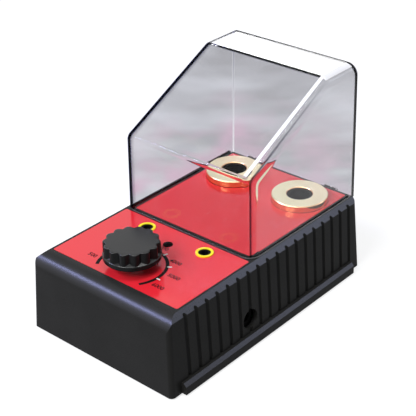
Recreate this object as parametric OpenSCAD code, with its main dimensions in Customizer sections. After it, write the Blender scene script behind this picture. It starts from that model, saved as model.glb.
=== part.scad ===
// Bench tester for spark plugs: a ribbed black case with a red control panel,
// two brass plug seats and a clear guard hood hinged along its rear edge.
// The origin is under the middle of the footprint, on the table. +X is to the
// right seen from the dial, +Y is to the rear and +Z is up.

/* [Case] */
// Width of the case at its foot, without the rails
case_w = 95; // [92:0.5:105]
// Length of the case at its foot
case_l = 151; // [149:0.5:165]
// Height of the case, from its foot to its deck
case_h = 41.8; // [40:0.2:50]
// Lean of the four walls, in degrees
draft = 3.1; // [2:0.1:3.6]
// Radius of the upright corners
corner_r = 2.5; // [2:0.5:4]
// Radius of the rounded top edge at the front
front_r = 8.5; // [7:0.5:9]
// Bevel along both long top edges
bevel = 2.6; // [2.2:0.1:3]
// Thickness of the walls
wall = 2.6; // [2.3:0.1:3]
// Thickness of the deck
deck_t = 3; // [2.8:0.1:3.6]
// Radius of the four screw bosses under the deck
boss_r = 4; // [3.6:0.2:4.4]
// Distance of the screw bosses from the outer walls at the foot
boss_inset = 9.5; // [9:0.5:11]

/* [Ribbed sides] */
// Number of grooves along each side
groove_count = 18; // [16:1:18]
// Spacing of the grooves
groove_pitch = 7.54; // [7.2:0.02:7.6]
// Distance of the first groove from the front foot line
first_groove = 13.2; // [12.4:0.2:14]
// Width of a groove; the rest of the spacing stays as a flat rib
groove_w = 2.4; // [2.2:0.2:3.6]
// Depth of the grooves
groove_depth = 1.1; // [0.6:0.1:1.1]
// How far the foot rails stand out from the sides
rail_out = 2.7; // [2:0.1:3.5]
// Height of the foot rails
rail_h = 6; // [5:0.5:7]
// Bevel on the upper edge of the rails
rail_bevel = 1.6; // [0.3:0.1:2]
// Distance of the rails from the front foot line
rail_front = 7; // [5:0.5:8]
// Distance of the rails from the rear foot line
rail_rear = 9; // [7:0.5:11]

/* [Panels] */
// Thickness of the red panels
panel_t = 1; // [0.8:0.1:1.2]
// Gap between a panel and its recess
panel_clear = 0.15; // [0.1:0.05:0.2]
// Distance of the control panel from the front foot line
panel_setback = 12.2; // [12:0.2:14]
// Length of the control panel
panel_l = 51.8; // [51:0.2:54]
// Deck left between the control panel's recess and the side bevels
panel_border = 1.2; // [1:0.1:1.6]
// Deck left between the test panel's recess and the hood groove or the rear edge
panel_rim = 1.2; // [1:0.1:1.6]
// Corner radius of both panels
panel_r = 1; // [0.5:0.25:2]

/* [Hood] */
// Wall thickness of the clear hood
hood_wall = 1.8; // [1.5:0.1:2]
// Radius of the upright edges beside the hood's front wall
hood_front_r = 5.6; // [4.6:0.1:5.7]
// Radius of the sloping edges beside the hood's window
hood_slant_r = 6; // [5.9:0.1:6.1]
// Radius of the edges beside the hood's flat top
hood_top_r = 6.4; // [6.3:0.1:7]
// Radius of the upright rear edges
hood_rear_r = 1; // [0.6:0.1:1.5]
// Height of the upright front wall above the deck
hood_front_h = 42.5; // [35:0.5:48]
// Height of the hood above the deck
hood_h = 73.4; // [68:0.2:80]
// Length of the flat top
hood_top_l = 23.9; // [18:0.1:32]
// Depth of the groove that the hood stands in
seat_depth = 2; // [1.5:0.1:2.2]
// Gap around the hood wall in its groove
seat_gap = 0.3; // [0.25:0.05:0.4]
// Deck left outside the groove
seat_lip = 0.75; // [0.5:0.05:1]
// Height of the kerb that stands on this deck, around the groove
kerb_h = 0.6; // [0.4:0.1:0.9]
// Gap between the case and the hood's rear wall at deck height
rear_gap = 1.6; // [1.5:0.1:2]

/* [Hinges] */
// Distance between the middles of both hinges
hinge_spacing = 52; // [44:1:60]
// Drop of the hinge axis below the hood's lower edge
hinge_drop = 0.9; // [0.8:0.1:1.2]
// Radius of the rounded ends of the ears
ear_r = 2.3; // [2.1:0.1:2.5]
// Thickness of an ear
ear_t = 2; // [1.6:0.1:2.4]
// Radius of the rounded end of the hood's tongue
tongue_r = 1.9; // [1.7:0.05:1.95]
// Thickness of the tongue
tongue_t = 2.2; // [1.8:0.1:3]
// Gap beside and around the tongue and the ears
hinge_gap = 0.3; // [0.25:0.05:0.4]
// Radius of the hinge pins
pin_r = 0.9; // [0.7:0.05:1]
// Running clearance of the pin in the tongue
pin_clear = 0.05; // [0.03:0.01:0.08]

/* [Speed dial] */
// Distance of the dial's axis from the front foot line
dial_y = 26.2; // [26:0.2:29]
// Radius over the lobes of the knob
knob_r = 14.2; // [13:0.1:15]
// Radius of the round skirt at the knob's foot
knob_skirt_r = 14.4; // [13.5:0.1:15.5]
// Number of lobes around the knob
knob_lobes = 14; // [10:1:16]
// Radius of one lobe
lobe_r = 2.75; // [2.6:0.05:3.2]
// Height of the knob
knob_h = 8.7; // [7.4:0.1:10]
// Gap between the knob and the panel
knob_lift = 5.3; // [5:0.1:7]
// Height of the skirt's rim
skirt_h = 2.4; // [1.6:0.1:2.8]
// Radius of the control's shaft
shaft_r = 3; // [2.5:0.1:3.2]
// Running clearance of the shaft in its bush
shaft_clear = 0.05; // [0.03:0.01:0.08]
// Radius of the control's threaded bush
bush_r = 4; // [3.9:0.1:4.4]
// Radius of the control's body
pot_r = 8.5; // [8:0.25:10]
// Height of the control's body
pot_h = 8; // [6:0.5:10]

/* [Plug seats] */
// Distance between the two plug seats
seat_spacing = 43.6; // [42:0.2:44]
// Distance of the plug seats from the rear edge of the deck
seat_setback = 20; // [19:0.2:23]
// Outer radius of the brass rings
ring_r = 15; // [14:0.25:15.5]
// Height of the brass rings above the panel
ring_h = 3.6; // [3:0.1:4.5]
// Bore radius of the brass rings
ring_bore_r = 6.8; // [6.4:0.1:7.2]
// Radius of the rings' threaded spigots
spigot_r = 9.5; // [9:0.1:10]
// Bore radius of the insulating sleeves, where a plug goes in
plug_bore_r = 5.7; // [5.2:0.1:6]
// How far a sleeve stays below the top of its ring
sleeve_sink = 0.8; // [0.5:0.1:1.2]

/* [Sockets and lamp] */
// Distance between the two lead sockets
socket_spacing = 38.8; // [36:0.2:44]
// Distance of the sockets from the control panel's rear edge
socket_setback = 7.6; // [6:0.2:9]
// Flange radius of the yellow collars
collar_r = 4.5; // [4.4:0.1:5]
// Bore radius of the yellow collars
collar_bore_r = 3.2; // [3:0.1:3.4]
// Bore radius of the socket contacts, for a lead pin
contact_bore_r = 2; // [1.9:0.05:2.1]
// Distance of the lamp from the control panel's rear edge
lamp_setback = 13; // [12:0.2:14]
// Radius of the lamp's lens
lamp_r = 2.5; // [2:0.1:2.6]

/* [Supply inlet] */
// Distance of the inlet from the rear edge of the circuit board
inlet_inset = 11.7; // [11.6:0.1:14]
// Height of the inlet's axis above the table
inlet_z = 14.7; // [14:0.1:16]
// Radius of the hole in the case
inlet_hole_r = 5.25; // [4.8:0.05:5.5]
// Bore radius of the inlet
inlet_bore_r = 3; // [2.8:0.05:3.2]
// Radius of the inlet's centre pin
inlet_pin_r = 1; // [0.8:0.05:1.2]

/* [Base] */
// Thickness of the base plate
base_t = 3; // [2.6:0.1:3.4]
// Gap between the base plate and the case
base_clear = 0.2; // [0.15:0.05:0.3]
// How far the rubber feet stand out below the case
foot_h = 1; // [0.8:0.1:1.5]
// Radius of the rubber feet
foot_r = 5; // [4:0.25:6]
// How far the feet are let into the base plate
foot_sink = 1.2; // [0.8:0.1:1.4]
// Thread radius of all case and board screws
screw_r = 1.4; // [1.2:0.1:1.5]
// Head radius of all case and board screws
screw_head_r = 2.8; // [2.6:0.1:3]

/* [Circuit board and spark coil] */
// Width of the circuit board
board_w = 74; // [70:1:78]
// Length of the circuit board
board_l = 48; // [46:1:50]
// Thickness of the circuit board
board_t = 1.6; // [1.2:0.1:2]
// Width of the spark coil
coil_w = 46; // [40:1:54]
// Length of the spark coil
coil_l = 33; // [28:1:36]
// Height of the spark coil
coil_h = 24; // [20:1:28]

/* [Hidden] */
$fn = 64;

lean = tan(draft);
deck_z = foot_h + case_h;
base_top = foot_h + base_t;
deck_low = deck_z - deck_t;
panel_low = deck_z - panel_t;
// Play left between a pressed crest or round and the plane that it meets
graze = 0.03;
// Overshoot of a cutting body past the faces that it cuts
over = 1;
// Ledge between the kerb and the edge of its deck
kerb_step = 0.1;

// Hinge axis and the overall length
hood_low = deck_z - seat_depth + seat_gap;
hinge_z = hood_low - hinge_drop;
hinge_back = case_l - lean * case_h + rear_gap + hood_wall / 2;
total_l = hinge_back + ear_r;
front_y = -total_l / 2;
hinge_y = front_y + hinge_back;

function wall_x(z) = case_w / 2 - (z - foot_h) * lean;
function front_wall(z) = front_y + (z - foot_h) * lean;
function rear_wall(z) = front_y + case_l - (z - foot_h) * lean;

deck_half = wall_x(deck_z - bevel) - bevel;
rear_edge = rear_wall(deck_z);

// Control panel and its recess
panel_half = deck_half - panel_border - panel_clear;
panel_y = front_y + panel_setback;

// Hood, outside faces
hood_half = deck_half - seat_lip - seat_gap;
hood_y = panel_y + panel_l + panel_clear + seat_lip + seat_gap;
hood_back = rear_edge + rear_gap + hood_wall;
hood_top = deck_z + hood_h;
bend_z = deck_z + hood_front_h;
slant_run = hood_back - hood_top_l - hood_y;
slant_angle = atan(slant_run / (hood_h - hood_front_h));

// Test panel inside the hood
test_half = hood_half - hood_wall - seat_gap - panel_rim - panel_clear;
test_y = hood_y + hood_wall + seat_gap + panel_rim + panel_clear;
test_back = rear_edge - panel_rim - panel_clear;

// Places of the fittings
dial_place = [0, front_y + dial_y, 0];
socket_place = [socket_spacing / 2, panel_y + panel_l - socket_setback, 0];
lamp_place = [0, panel_y + panel_l - lamp_setback, 0];
plug_place = [seat_spacing / 2, rear_edge - seat_setback, 0];
boss_x = case_w / 2 - boss_inset;
boss_front = front_y + boss_inset + over;
boss_rear = front_y + case_l - boss_inset;
foot_x = boss_x - foot_r / 2;
foot_step = boss_r + 2 * foot_r;

// Fitting gaps and small parts
hole_clear = 0.05;
screw_clear = 0.3;
screw_head_h = 1.6;
screw_bite = 10;
nut_h = 2;
washer_t = 0.6;
bush_top = deck_z + washer_t + nut_h + over;
knob_z = deck_z + knob_lift;
collar_flange = 0.6;
collar_barrel_r = collar_bore_r + 0.8;
collar_low = deck_low - nut_h - over;
socket_sink = 0.4;
contact_top = deck_low - 6;
contact_l = 10;
contact_wall = 0.6;
spigot_low = deck_low - 5;
strap_t = 1;
ring_nut_h = 3;
sleeve_flange = 2.4;

// Dome of the lamp's lens, a quarter of its radius high
lamp_dome_h = lamp_r / 4;
lamp_dome_r = (pow(lamp_r, 2) + pow(lamp_dome_h, 2)) / (2 * lamp_dome_h);

// Board, coil and spark leads
standoff_r = 3;
inlet_body_h = 11;
inlet_body_w = 9;
inlet_axis_h = 6.5;
board_z = inlet_z - inlet_axis_h - board_t;
inlet_body_l = 14;
inlet_depth = 10;
board_x = wall_x(board_z) - wall - over - board_w / 2 - 4;
board_hole = 4;
coil_ear = 8;
coil_ear_t = 3;
coil_boss_r = 3;
coil_boss_l = 2;
stud_r = 1.5;
stud_low = base_top + 1.6;
lug_t = 0.8;
lug_r = stud_r + 2.3;
lug_lap = 0.4;
lead_r = 1.3;
sleeve_floor = stud_low + over + lug_t + nut_h;
sleeve_floor_t = 2.5;
contact_head_r = 4;
contact_head_h = 1.5;
plug_floor = sleeve_floor + sleeve_floor_t + contact_head_h;
// The board and the coil share the room between the front bosses and the plug seats,
// and what is left over is split between the gaps before, between and behind them
inner_front = boss_front + boss_r;
inner_spare = plug_place[1] - lug_r - inner_front - board_l - coil_l - coil_boss_l;
board_y = inner_front + 0.27 * inner_spare + board_l / 2;
coil_y = board_y + board_l / 2 + 0.18 * inner_spare + coil_l / 2;
inlet_place = [0, board_y + board_l / 2 - inlet_inset, inlet_z];

// Parts on the board
cap_r = 5;
cap_h = 16;
chip_l = 9.6;
chip_w = 6.4;
chip_h = 3.5;
tran_w = 10;
tran_t = 4.5;
tran_h = 15;
sink_w = 20;
sink_h = 20;
sink_fin = 1.5;
sink_fin_l = 6;
// The heat sink stands midway between the two lead sockets
sink_place = [0, board_y + board_l / 4, board_z + board_t];

// Rectangle with its own corner radius at the low side and at the high side
module round_rect(half, low, high, r_low, r_high) {
    translate([-half, low + r_low]) square([2 * half, high - low - r_low - r_high]);
    translate([-half + r_low, low]) square([2 * (half - r_low), high - low - r_high]);
    translate([-half + r_high, low + r_low]) square([2 * (half - r_high), high - low - r_low]);
    for (side = [-1, 1]) {
        if (r_low > 0) translate([side * (half - r_low), low + r_low]) circle(r_low);
        if (r_high > 0) translate([side * (half - r_high), high - r_high]) circle(r_high);
    }
}

// Round tube standing on z = low
module tube(outer, inner, low, high) {
    difference() {
        translate([0, 0, low]) cylinder(r = outer, h = high - low);
        translate([0, 0, low - over]) cylinder(r = inner, h = high - low + 2 * over);
    }
}

// Hexagon nut with a plain bore
module hex_nut(flats, bore, low, height) {
    difference() {
        translate([0, 0, low]) cylinder(r = flats / sqrt(3), h = height, $fn = 6);
        translate([0, 0, low - over]) cylinder(r = bore, h = height + 2 * over);
    }
}

// A drawing in the Y-Z plane, given thickness along X about the middle
module along_x(width) {
    rotate([90, 0, 90]) linear_extrude(width, center = true) children();
}

// A drawing in the X-Z plane, given length along Y about the middle
module along_y(length) {
    rotate([90, 0, 0]) linear_extrude(length, center = true) children();
}

// Case seen from the front, set in from the outside by the wall
module case_front_view(inset, low, high, cut) {
    half_low = wall_x(low) - inset / cos(draft);
    half_high = wall_x(high - cut) - inset / cos(draft);
    polygon([[-half_low, low], [half_low, low], [half_high, high - cut], [half_high - cut, high],
        [-half_high + cut, high], [-half_high, high - cut]]);
}

// Case seen from the side: leaning ends and a rounded top edge at the front
module case_side_view() {
    round_z = deck_z - front_r;
    round_y = front_wall(round_z) + front_r / cos(draft);
    touch = [round_y - front_r * cos(draft), round_z + front_r * sin(draft)];
    polygon([[front_wall(foot_h), foot_h], [rear_wall(foot_h), foot_h], [rear_edge, deck_z],
        [round_y, deck_z], touch]);
    translate([round_y, round_z]) circle(front_r);
}

// Hollow of the case seen from the side, bevelled behind the rounded edge
module cavity_side_view() {
    skin = wall / cos(draft);
    cut = 2 * front_r - wall - deck_t - sqrt(2) * (front_r - wall);
    low = foot_h - over;
    polygon([[front_wall(low) + skin, low], [rear_wall(low) - skin, low],
        [rear_wall(deck_low) - skin, deck_low], [front_wall(deck_low) + skin + cut, deck_low],
        [front_wall(deck_low - cut) + skin, deck_low - cut]]);
}

// Rounds one upright corner, along the leaning line where two walls meet
module corner_cut(sx, sy) {
    away = corner_r / cos(draft);
    corner_y = sy > 0 ? rear_wall(foot_h) - away : front_wall(foot_h) + away;
    translate([sx * (case_w / 2 - away), corner_y, foot_h])
    rotate(a = atan(lean * sqrt(2)), v = [sy, -sx, 0])
    translate([0, 0, -over - corner_r]) linear_extrude(case_h + 2 * corner_r)
    difference() {
        scale([sx, sy]) square(corner_r + 2 * over);
        circle(corner_r + graze);
    }
}

// Upright grooves in the right wall, with flat ribs left between them
module rib_cut() {
    groove_r = (pow(groove_w / 2, 2) + pow(groove_depth, 2)) / (2 * groove_depth);
    first = front_y + first_groove;
    translate([case_w / 2, 0, foot_h]) rotate([0, -draft, 0])
    translate([groove_r - groove_depth, first, rail_h / 2]) linear_extrude(case_h)
    for (i = [0 : groove_count - 1]) {
        translate([0, i * groove_pitch]) circle(groove_r);
    }
}

// Foot rail along the right side
module rail() {
    inner = case_w / 2 - wall * 0.6;
    outer = case_w / 2 + rail_out;
    high = foot_h + rail_h;
    length = case_l - rail_front - rail_rear;
    translate([0, front_y + rail_front + length / 2, 0]) along_y(length)
    polygon([[inner, foot_h], [outer, foot_h], [outer, high - rail_bevel], [outer - rail_bevel, high],
        [inner, high]]);
}

// The two ears of one hinge, with the bore of the pin
module hinge_ears() {
    root = rear_wall(hinge_z) - wall * 0.6;
    for (side = [-1, 1]) {
        translate([side * (tongue_t / 2 + hinge_gap + ear_t / 2), 0, 0]) along_x(ear_t)
        difference() {
            union() {
                translate([root, hinge_z - ear_r]) square([hinge_y - root, 2 * ear_r]);
                translate([hinge_y, hinge_z]) circle(ear_r);
            }
            translate([hinge_y, hinge_z]) circle(pin_r);
        }
    }
}

// Raised deck under the hood, of which the groove leaves the kerb
module kerb_block() {
    out = seat_gap + seat_lip - kerb_step;
    translate([0, 0, deck_low]) linear_extrude(deck_t + kerb_h)
    round_rect(hood_half + out, hood_y - out, rear_edge - panel_rim, hood_front_r + out, 0);
}

// Groove in the deck for the walls of the hood, open at the rear, with the deck left flat inside it
module hood_groove() {
    translate([0, 0, deck_z]) linear_extrude(over)
    round_rect(hood_half + seat_gap, hood_y - seat_gap, hood_back + over, hood_front_r + seat_gap, 0);
    translate([0, 0, deck_z - seat_depth]) linear_extrude(seat_depth + over)
    difference() {
        round_rect(hood_half + seat_gap, hood_y - seat_gap, hood_back + over, hood_front_r + seat_gap, 0);
        round_rect(hood_half - hood_wall - seat_gap, hood_y + hood_wall + seat_gap, hood_back + 2 * over,
            hood_front_r - hood_wall - seat_gap, 0);
    }
}

// Recess of a panel, or the panel itself with play 0
module panel_outline(half, low, high, play) {
    round_rect(half + play, low - play, high + play, panel_r + play, panel_r + play);
}

module upper_case() {
    color([0.16, 0.16, 0.17])
    difference() {
        union() {
            difference() {
                intersection() {
                    along_y(3 * case_l) case_front_view(0, foot_h, deck_z, bevel);
                    along_x(2 * case_w) case_side_view();
                }
                for (sx = [-1, 1], sy = [-1, 1]) corner_cut(sx, sy);
                rib_cut();
                mirror([1, 0, 0]) rib_cut();
            }
            kerb_block();
            rail();
            mirror([1, 0, 0]) rail();
            for (side = [-1, 1]) translate([side * hinge_spacing / 2, 0, 0]) hinge_ears();
        }
        difference() {
            intersection() {
                along_y(3 * case_l) case_front_view(wall, foot_h - over, deck_low, over);
                along_x(2 * case_w) cavity_side_view();
            }
            for (x = [-boss_x, boss_x], y = [boss_front, boss_rear]) {
                translate([x, y, 0]) tube(boss_r, screw_r, base_top, deck_z);
            }
        }
        translate([0, 0, panel_low]) linear_extrude(panel_t + over) {
            panel_outline(panel_half, panel_y, panel_y + panel_l, panel_clear);
            panel_outline(test_half, test_y, test_back, panel_clear);
        }
        hood_groove();
        deck_holes(deck_low - over, deck_z + over);
        translate([wall_x(inlet_z), inlet_place[1], inlet_z]) rotate([0, 90, 0])
        cylinder(r = inlet_hole_r, h = 4 * wall, center = true);
    }
}

// Holes through the deck and its panels
module deck_holes(low, high) {
    translate([0, 0, low]) {
        translate(dial_place) cylinder(r = bush_r + hole_clear, h = high - low);
        translate(lamp_place) cylinder(r = lamp_r + hole_clear, h = high - low);
        for (side = [-1, 1]) {
            translate([side * socket_place[0], socket_place[1], 0])
            cylinder(r = collar_barrel_r + hole_clear, h = high - low);
            translate([side * plug_place[0], plug_place[1], 0])
            cylinder(r = spigot_r + hole_clear, h = high - low);
        }
    }
}
module base_plate() {
    half = wall_x(base_top) - wall / cos(draft) - base_clear;
    low_y = front_wall(base_top) + wall / cos(draft) + base_clear;
    high_y = rear_wall(base_top) - wall / cos(draft) - base_clear;
    color([0.12, 0.12, 0.13])
    difference() {
        union() {
            translate([0, 0, foot_h]) linear_extrude(base_t)
            round_rect(half, low_y, high_y, panel_r, panel_r);
            for (p = board_holes()) translate(p) tube(standoff_r, screw_r, foot_h + over, board_z);
            for (x = coil_holes()) {
                translate([x, coil_y, 0]) tube(standoff_r, screw_r, foot_h + over, base_top + coil_ear_t);
            }
        }
        for (p = board_holes()) translate([p[0], p[1], foot_h + over]) cylinder(r = screw_r, h = board_z);
        for (x = coil_holes()) translate([x, coil_y, foot_h + over]) cylinder(r = screw_r, h = board_z);
        for (p = foot_places()) translate([p[0], p[1], foot_h - over]) {
            cylinder(r = foot_r + hole_clear, h = foot_sink + over);
        }
        for (x = [-boss_x, boss_x], y = [boss_front, boss_rear]) translate([x, y, foot_h - over]) {
            cylinder(r = screw_r + screw_clear, h = base_t + 2 * over);
            cylinder(r = screw_head_r + screw_clear, h = screw_head_h + over);
        }
    }
}

function board_holes() = [for (x = [-1, 1], y = [-1, 1])
    [board_x + x * (board_w / 2 - board_hole), board_y + y * (board_l / 2 - board_hole), 0]];
function coil_holes() = [for (side = [-1, 1]) side * (coil_w + coil_ear) / 2];
function foot_places() = [for (x = [-1, 1], y = [boss_front + foot_step, boss_rear - foot_step])
    [x * foot_x, y, 0]];

// Screw with its head below, or turned over with its head on top
module screw(head_z, length) {
    translate([0, 0, head_z]) cylinder(r = screw_head_r, h = screw_head_h);
    translate([0, 0, head_z]) cylinder(r = screw_r, h = length);
}

module base_screws() {
    color("silver")
    for (x = [-boss_x, boss_x], y = [boss_front, boss_rear]) {
        translate([x, y, 0]) screw(foot_h, base_t + screw_bite);
    }
}

module rubber_feet() {
    color([0.1, 0.1, 0.1])
    for (p = foot_places()) translate(p) cylinder(r = foot_r, h = foot_h + foot_sink);
}

module front_panel() {
    color([0.86, 0.12, 0.17])
    difference() {
        translate([0, 0, panel_low]) linear_extrude(panel_t)
        panel_outline(panel_half, panel_y, panel_y + panel_l, 0);
        deck_holes(panel_low - over, deck_z + over);
    }
}

module test_panel() {
    color([0.86, 0.12, 0.17])
    difference() {
        translate([0, 0, panel_low]) linear_extrude(panel_t)
        panel_outline(test_half, test_y, test_back, 0);
        deck_holes(panel_low - over, deck_z + over);
    }
}

// Solid of the hood, set in from the outside: its plan, its front view and the
// view along the slant all round the side edges, and a slab cuts the sides flat
module hood_block(inset, low) {
    half = hood_half - inset;
    reach = 2 * hood_h + case_l;
    rear_r = max(hood_rear_r - inset, 0);
    intersection() {
        translate([-half, -reach, low]) cube([2 * half, 2 * reach, hood_h + case_h]);
        translate([0, 0, low - over]) linear_extrude(hood_h + case_h)
        round_rect(half + graze, hood_y + inset, hood_back - inset, hood_front_r - inset, rear_r);
        along_y(2 * reach) round_rect(half + graze, low - over, hood_top - inset, 0, hood_top_r - inset);
        translate([0, hood_y, bend_z]) rotate([-slant_angle, 0, 0]) translate([0, 0, -reach])
        linear_extrude(2 * reach) round_rect(half + graze, inset, reach, hood_slant_r - inset, 0);
    }
}

module hood() {
    notch_half = tongue_t / 2 + ear_t + 2 * hinge_gap;
    notch_top = hinge_z + ear_r + hinge_gap;
    color([0.85, 0.88, 0.92, 0.35])
    difference() {
        union() {
            difference() {
                hood_block(0, hood_low);
                hood_block(hood_wall, hood_low - over);
                for (side = [-1, 1]) {
                    translate([side * hinge_spacing / 2, hood_back - hood_wall / 2, notch_top - hood_wall])
                    cube([2 * notch_half, 2 * hood_wall, 2 * hood_wall], center = true);
                }
            }
            for (side = [-1, 1]) translate([side * hinge_spacing / 2, 0, 0]) along_x(tongue_t) {
                translate([hinge_y, hinge_z]) circle(tongue_r);
                translate([hinge_y - hood_wall / 2, hinge_z]) square([hood_wall, 2 * ear_r]);
            }
        }
        translate([0, hinge_y, hinge_z]) rotate([0, 90, 0])
        cylinder(r = pin_r + pin_clear, h = 2 * hinge_spacing, center = true);
    }
}

module hinge_pin(side) {
    length = tongue_t + 2 * hinge_gap + 2 * ear_t + hinge_gap;
    color("silver")
    translate([side * hinge_spacing / 2, hinge_y, hinge_z]) rotate([0, 90, 0])
    cylinder(r = pin_r, h = length, center = true);
}

module speed_knob() {
    core_r = knob_r - lobe_r;
    cap = knob_z + knob_h;
    rim = knob_z + skirt_h;
    color([0.2, 0.2, 0.21])
    translate(dial_place)
    difference() {
        union() {
            rotate_extrude() polygon([[0, knob_z], [knob_skirt_r, knob_z], [knob_skirt_r, rim],
                [core_r + lobe_r / 4, rim + lobe_r / 2], [0, rim + lobe_r / 2]]);
            translate([0, 0, rim - skirt_h / 2]) linear_extrude(cap - rim + skirt_h / 2) {
                circle(core_r);
                for (i = [0 : knob_lobes - 1]) {
                    rotate(i * 360 / knob_lobes) translate([core_r, 0]) circle(lobe_r);
                }
            }
        }
        translate([0, 0, knob_z - over]) cylinder(r = shaft_r, h = knob_h - skirt_h + over);
        translate([0, 0, knob_z - over]) cylinder(r = bush_r + 2 * over, h = skirt_h + over);
    }
}

module control_shaft() {
    color("silver")
    translate(dial_place) translate([0, 0, deck_low - pot_h / 2])
    cylinder(r = shaft_r, h = knob_z + knob_h - skirt_h - deck_low + pot_h / 2);
}

module control_body() {
    color([0.62, 0.63, 0.65])
    translate(dial_place)
    difference() {
        union() {
            translate([0, 0, deck_low - pot_h]) cylinder(r = pot_r, h = pot_h);
            translate([0, 0, deck_low - over]) cylinder(r = bush_r, h = bush_top - deck_low + over);
        }
        translate([0, 0, deck_low - pot_h / 2 - shaft_clear])
        cylinder(r = shaft_r + shaft_clear, h = pot_h + bush_top);
    }
}

module control_washer() {
    color("silver")
    translate(dial_place) tube(bush_r + 1.6, bush_r, deck_z, deck_z + washer_t);
}

module control_nut() {
    color("silver")
    translate(dial_place) hex_nut(2 * bush_r + 3, bush_r, deck_z + washer_t, nut_h);
}

module power_lamp() {
    rim = deck_z + 0.2;
    color([0.1, 0.06, 0.06])
    translate(lamp_place) {
        translate([0, 0, deck_low - 2 * over]) cylinder(r = lamp_r + 0.5, h = over);
        translate([0, 0, deck_low - 2 * over]) cylinder(r = lamp_r, h = rim - deck_low + 2 * over);
        translate([0, 0, rim]) rotate_extrude() intersection() {
            translate([0, lamp_dome_h - lamp_dome_r]) circle(lamp_dome_r);
            square([lamp_r, lamp_r]);
        }
    }
}
module lamp_clip() {
    color([0.1, 0.1, 0.1])
    translate(lamp_place) tube(lamp_r + 1.5, lamp_r, deck_low - over, deck_low);
}

module socket_collar(side) {
    color([0.98, 0.85, 0.05])
    translate([side * socket_place[0], socket_place[1], 0])
    difference() {
        union() {
            translate([0, 0, deck_z]) cylinder(r = collar_r, h = collar_flange);
            translate([0, 0, collar_low]) cylinder(r = collar_barrel_r, h = deck_z - collar_low);
        }
        translate([0, 0, collar_low - over]) cylinder(r = collar_bore_r, h = deck_t + 6 * over + nut_h);
    }
}

module socket_sleeve(side) {
    low = contact_top - contact_l;
    top = deck_z + collar_flange - socket_sink;
    color([0.06, 0.06, 0.07])
    translate([side * socket_place[0], socket_place[1], 0])
    difference() {
        translate([0, 0, low]) cylinder(r = collar_bore_r, h = top - low);
        translate([0, 0, low - over]) cylinder(r = contact_bore_r + contact_wall, h = contact_l + over);
        translate([0, 0, low]) cylinder(r = contact_bore_r + hole_clear, h = top - low + over);
    }
}

module socket_contact(side) {
    color("gold")
    translate([side * socket_place[0], socket_place[1], 0])
    tube(contact_bore_r + contact_wall, contact_bore_r, contact_top - contact_l, contact_top);
}

module socket_nut(side) {
    color("silver")
    translate([side * socket_place[0], socket_place[1], 0])
    hex_nut(2 * collar_barrel_r + 3, collar_barrel_r, deck_low - nut_h, nut_h);
}

module plug_ring(side) {
    edge = 0.4;
    top = deck_z + ring_h;
    color("gold")
    translate([side * plug_place[0], plug_place[1], 0])
    rotate_extrude() polygon([[ring_bore_r, spigot_low], [spigot_r, spigot_low], [spigot_r, deck_z],
        [ring_r, deck_z], [ring_r, top - edge], [ring_r - edge, top], [ring_bore_r + edge, top],
        [ring_bore_r, top - edge]]);
}

module plug_sleeve(side) {
    top = deck_z + ring_h - sleeve_sink;
    color([0.05, 0.05, 0.06])
    translate([side * plug_place[0], plug_place[1], 0])
    difference() {
        union() {
            translate([0, 0, sleeve_floor]) cylinder(r = ring_bore_r, h = top - sleeve_floor);
            translate([0, 0, spigot_low - sleeve_flange]) cylinder(r = spigot_r, h = sleeve_flange);
        }
        translate([0, 0, plug_floor]) cylinder(r = plug_bore_r, h = top - plug_floor + over);
        translate([0, 0, plug_floor - contact_head_h])
        cylinder(r = contact_head_r, h = contact_head_h + over);
        translate([0, 0, sleeve_floor - over]) cylinder(r = stud_r, h = sleeve_floor_t + 2 * over);
    }
}

module ring_nut(side) {
    color("gold")
    translate([side * plug_place[0], plug_place[1], 0])
    hex_nut(2 * spigot_r + 5, spigot_r, deck_low - strap_t - ring_nut_h, ring_nut_h);
}

module earth_strap() {
    eye = spigot_r + 3;
    color("gold")
    translate([0, plug_place[1], deck_low - strap_t]) linear_extrude(strap_t)
    difference() {
        union() {
            square([seat_spacing, spigot_r], center = true);
            for (side = [-1, 1]) translate([side * plug_place[0], 0]) circle(eye);
        }
        for (side = [-1, 1]) translate([side * plug_place[0], 0]) circle(spigot_r + hole_clear);
    }
}

module spark_contact(side) {
    color("gold")
    translate([side * plug_place[0], plug_place[1], 0]) {
        translate([0, 0, plug_floor - contact_head_h]) cylinder(r = contact_head_r, h = contact_head_h);
        translate([0, 0, stud_low]) cylinder(r = stud_r, h = plug_floor - contact_head_h - stud_low);
    }
}

module contact_nut(side) {
    color("silver")
    translate([side * plug_place[0], plug_place[1], 0])
    hex_nut(2 * stud_r + 2.5, stud_r, sleeve_floor - nut_h, nut_h);
}

// Lead from the coil to the contact's stud, with its ring terminal
module spark_lead(side) {
    lug_z = sleeve_floor - nut_h - lug_t;
    start = coil_y + coil_l / 2 + coil_boss_l;
    color([0.75, 0.1, 0.1])
    difference() {
        union() {
            translate([side * plug_place[0], plug_place[1], lug_z]) cylinder(r = lug_r, h = lug_t);
            translate([side * plug_place[0], start, lug_z + lug_t / 2]) rotate([-90, 0, 0])
            cylinder(r = lead_r, h = plug_place[1] - lug_r + lug_lap - start);
        }
        translate([side * plug_place[0], plug_place[1], lug_z - over])
        cylinder(r = stud_r, h = lug_t + 2 * over);
    }
}

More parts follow.
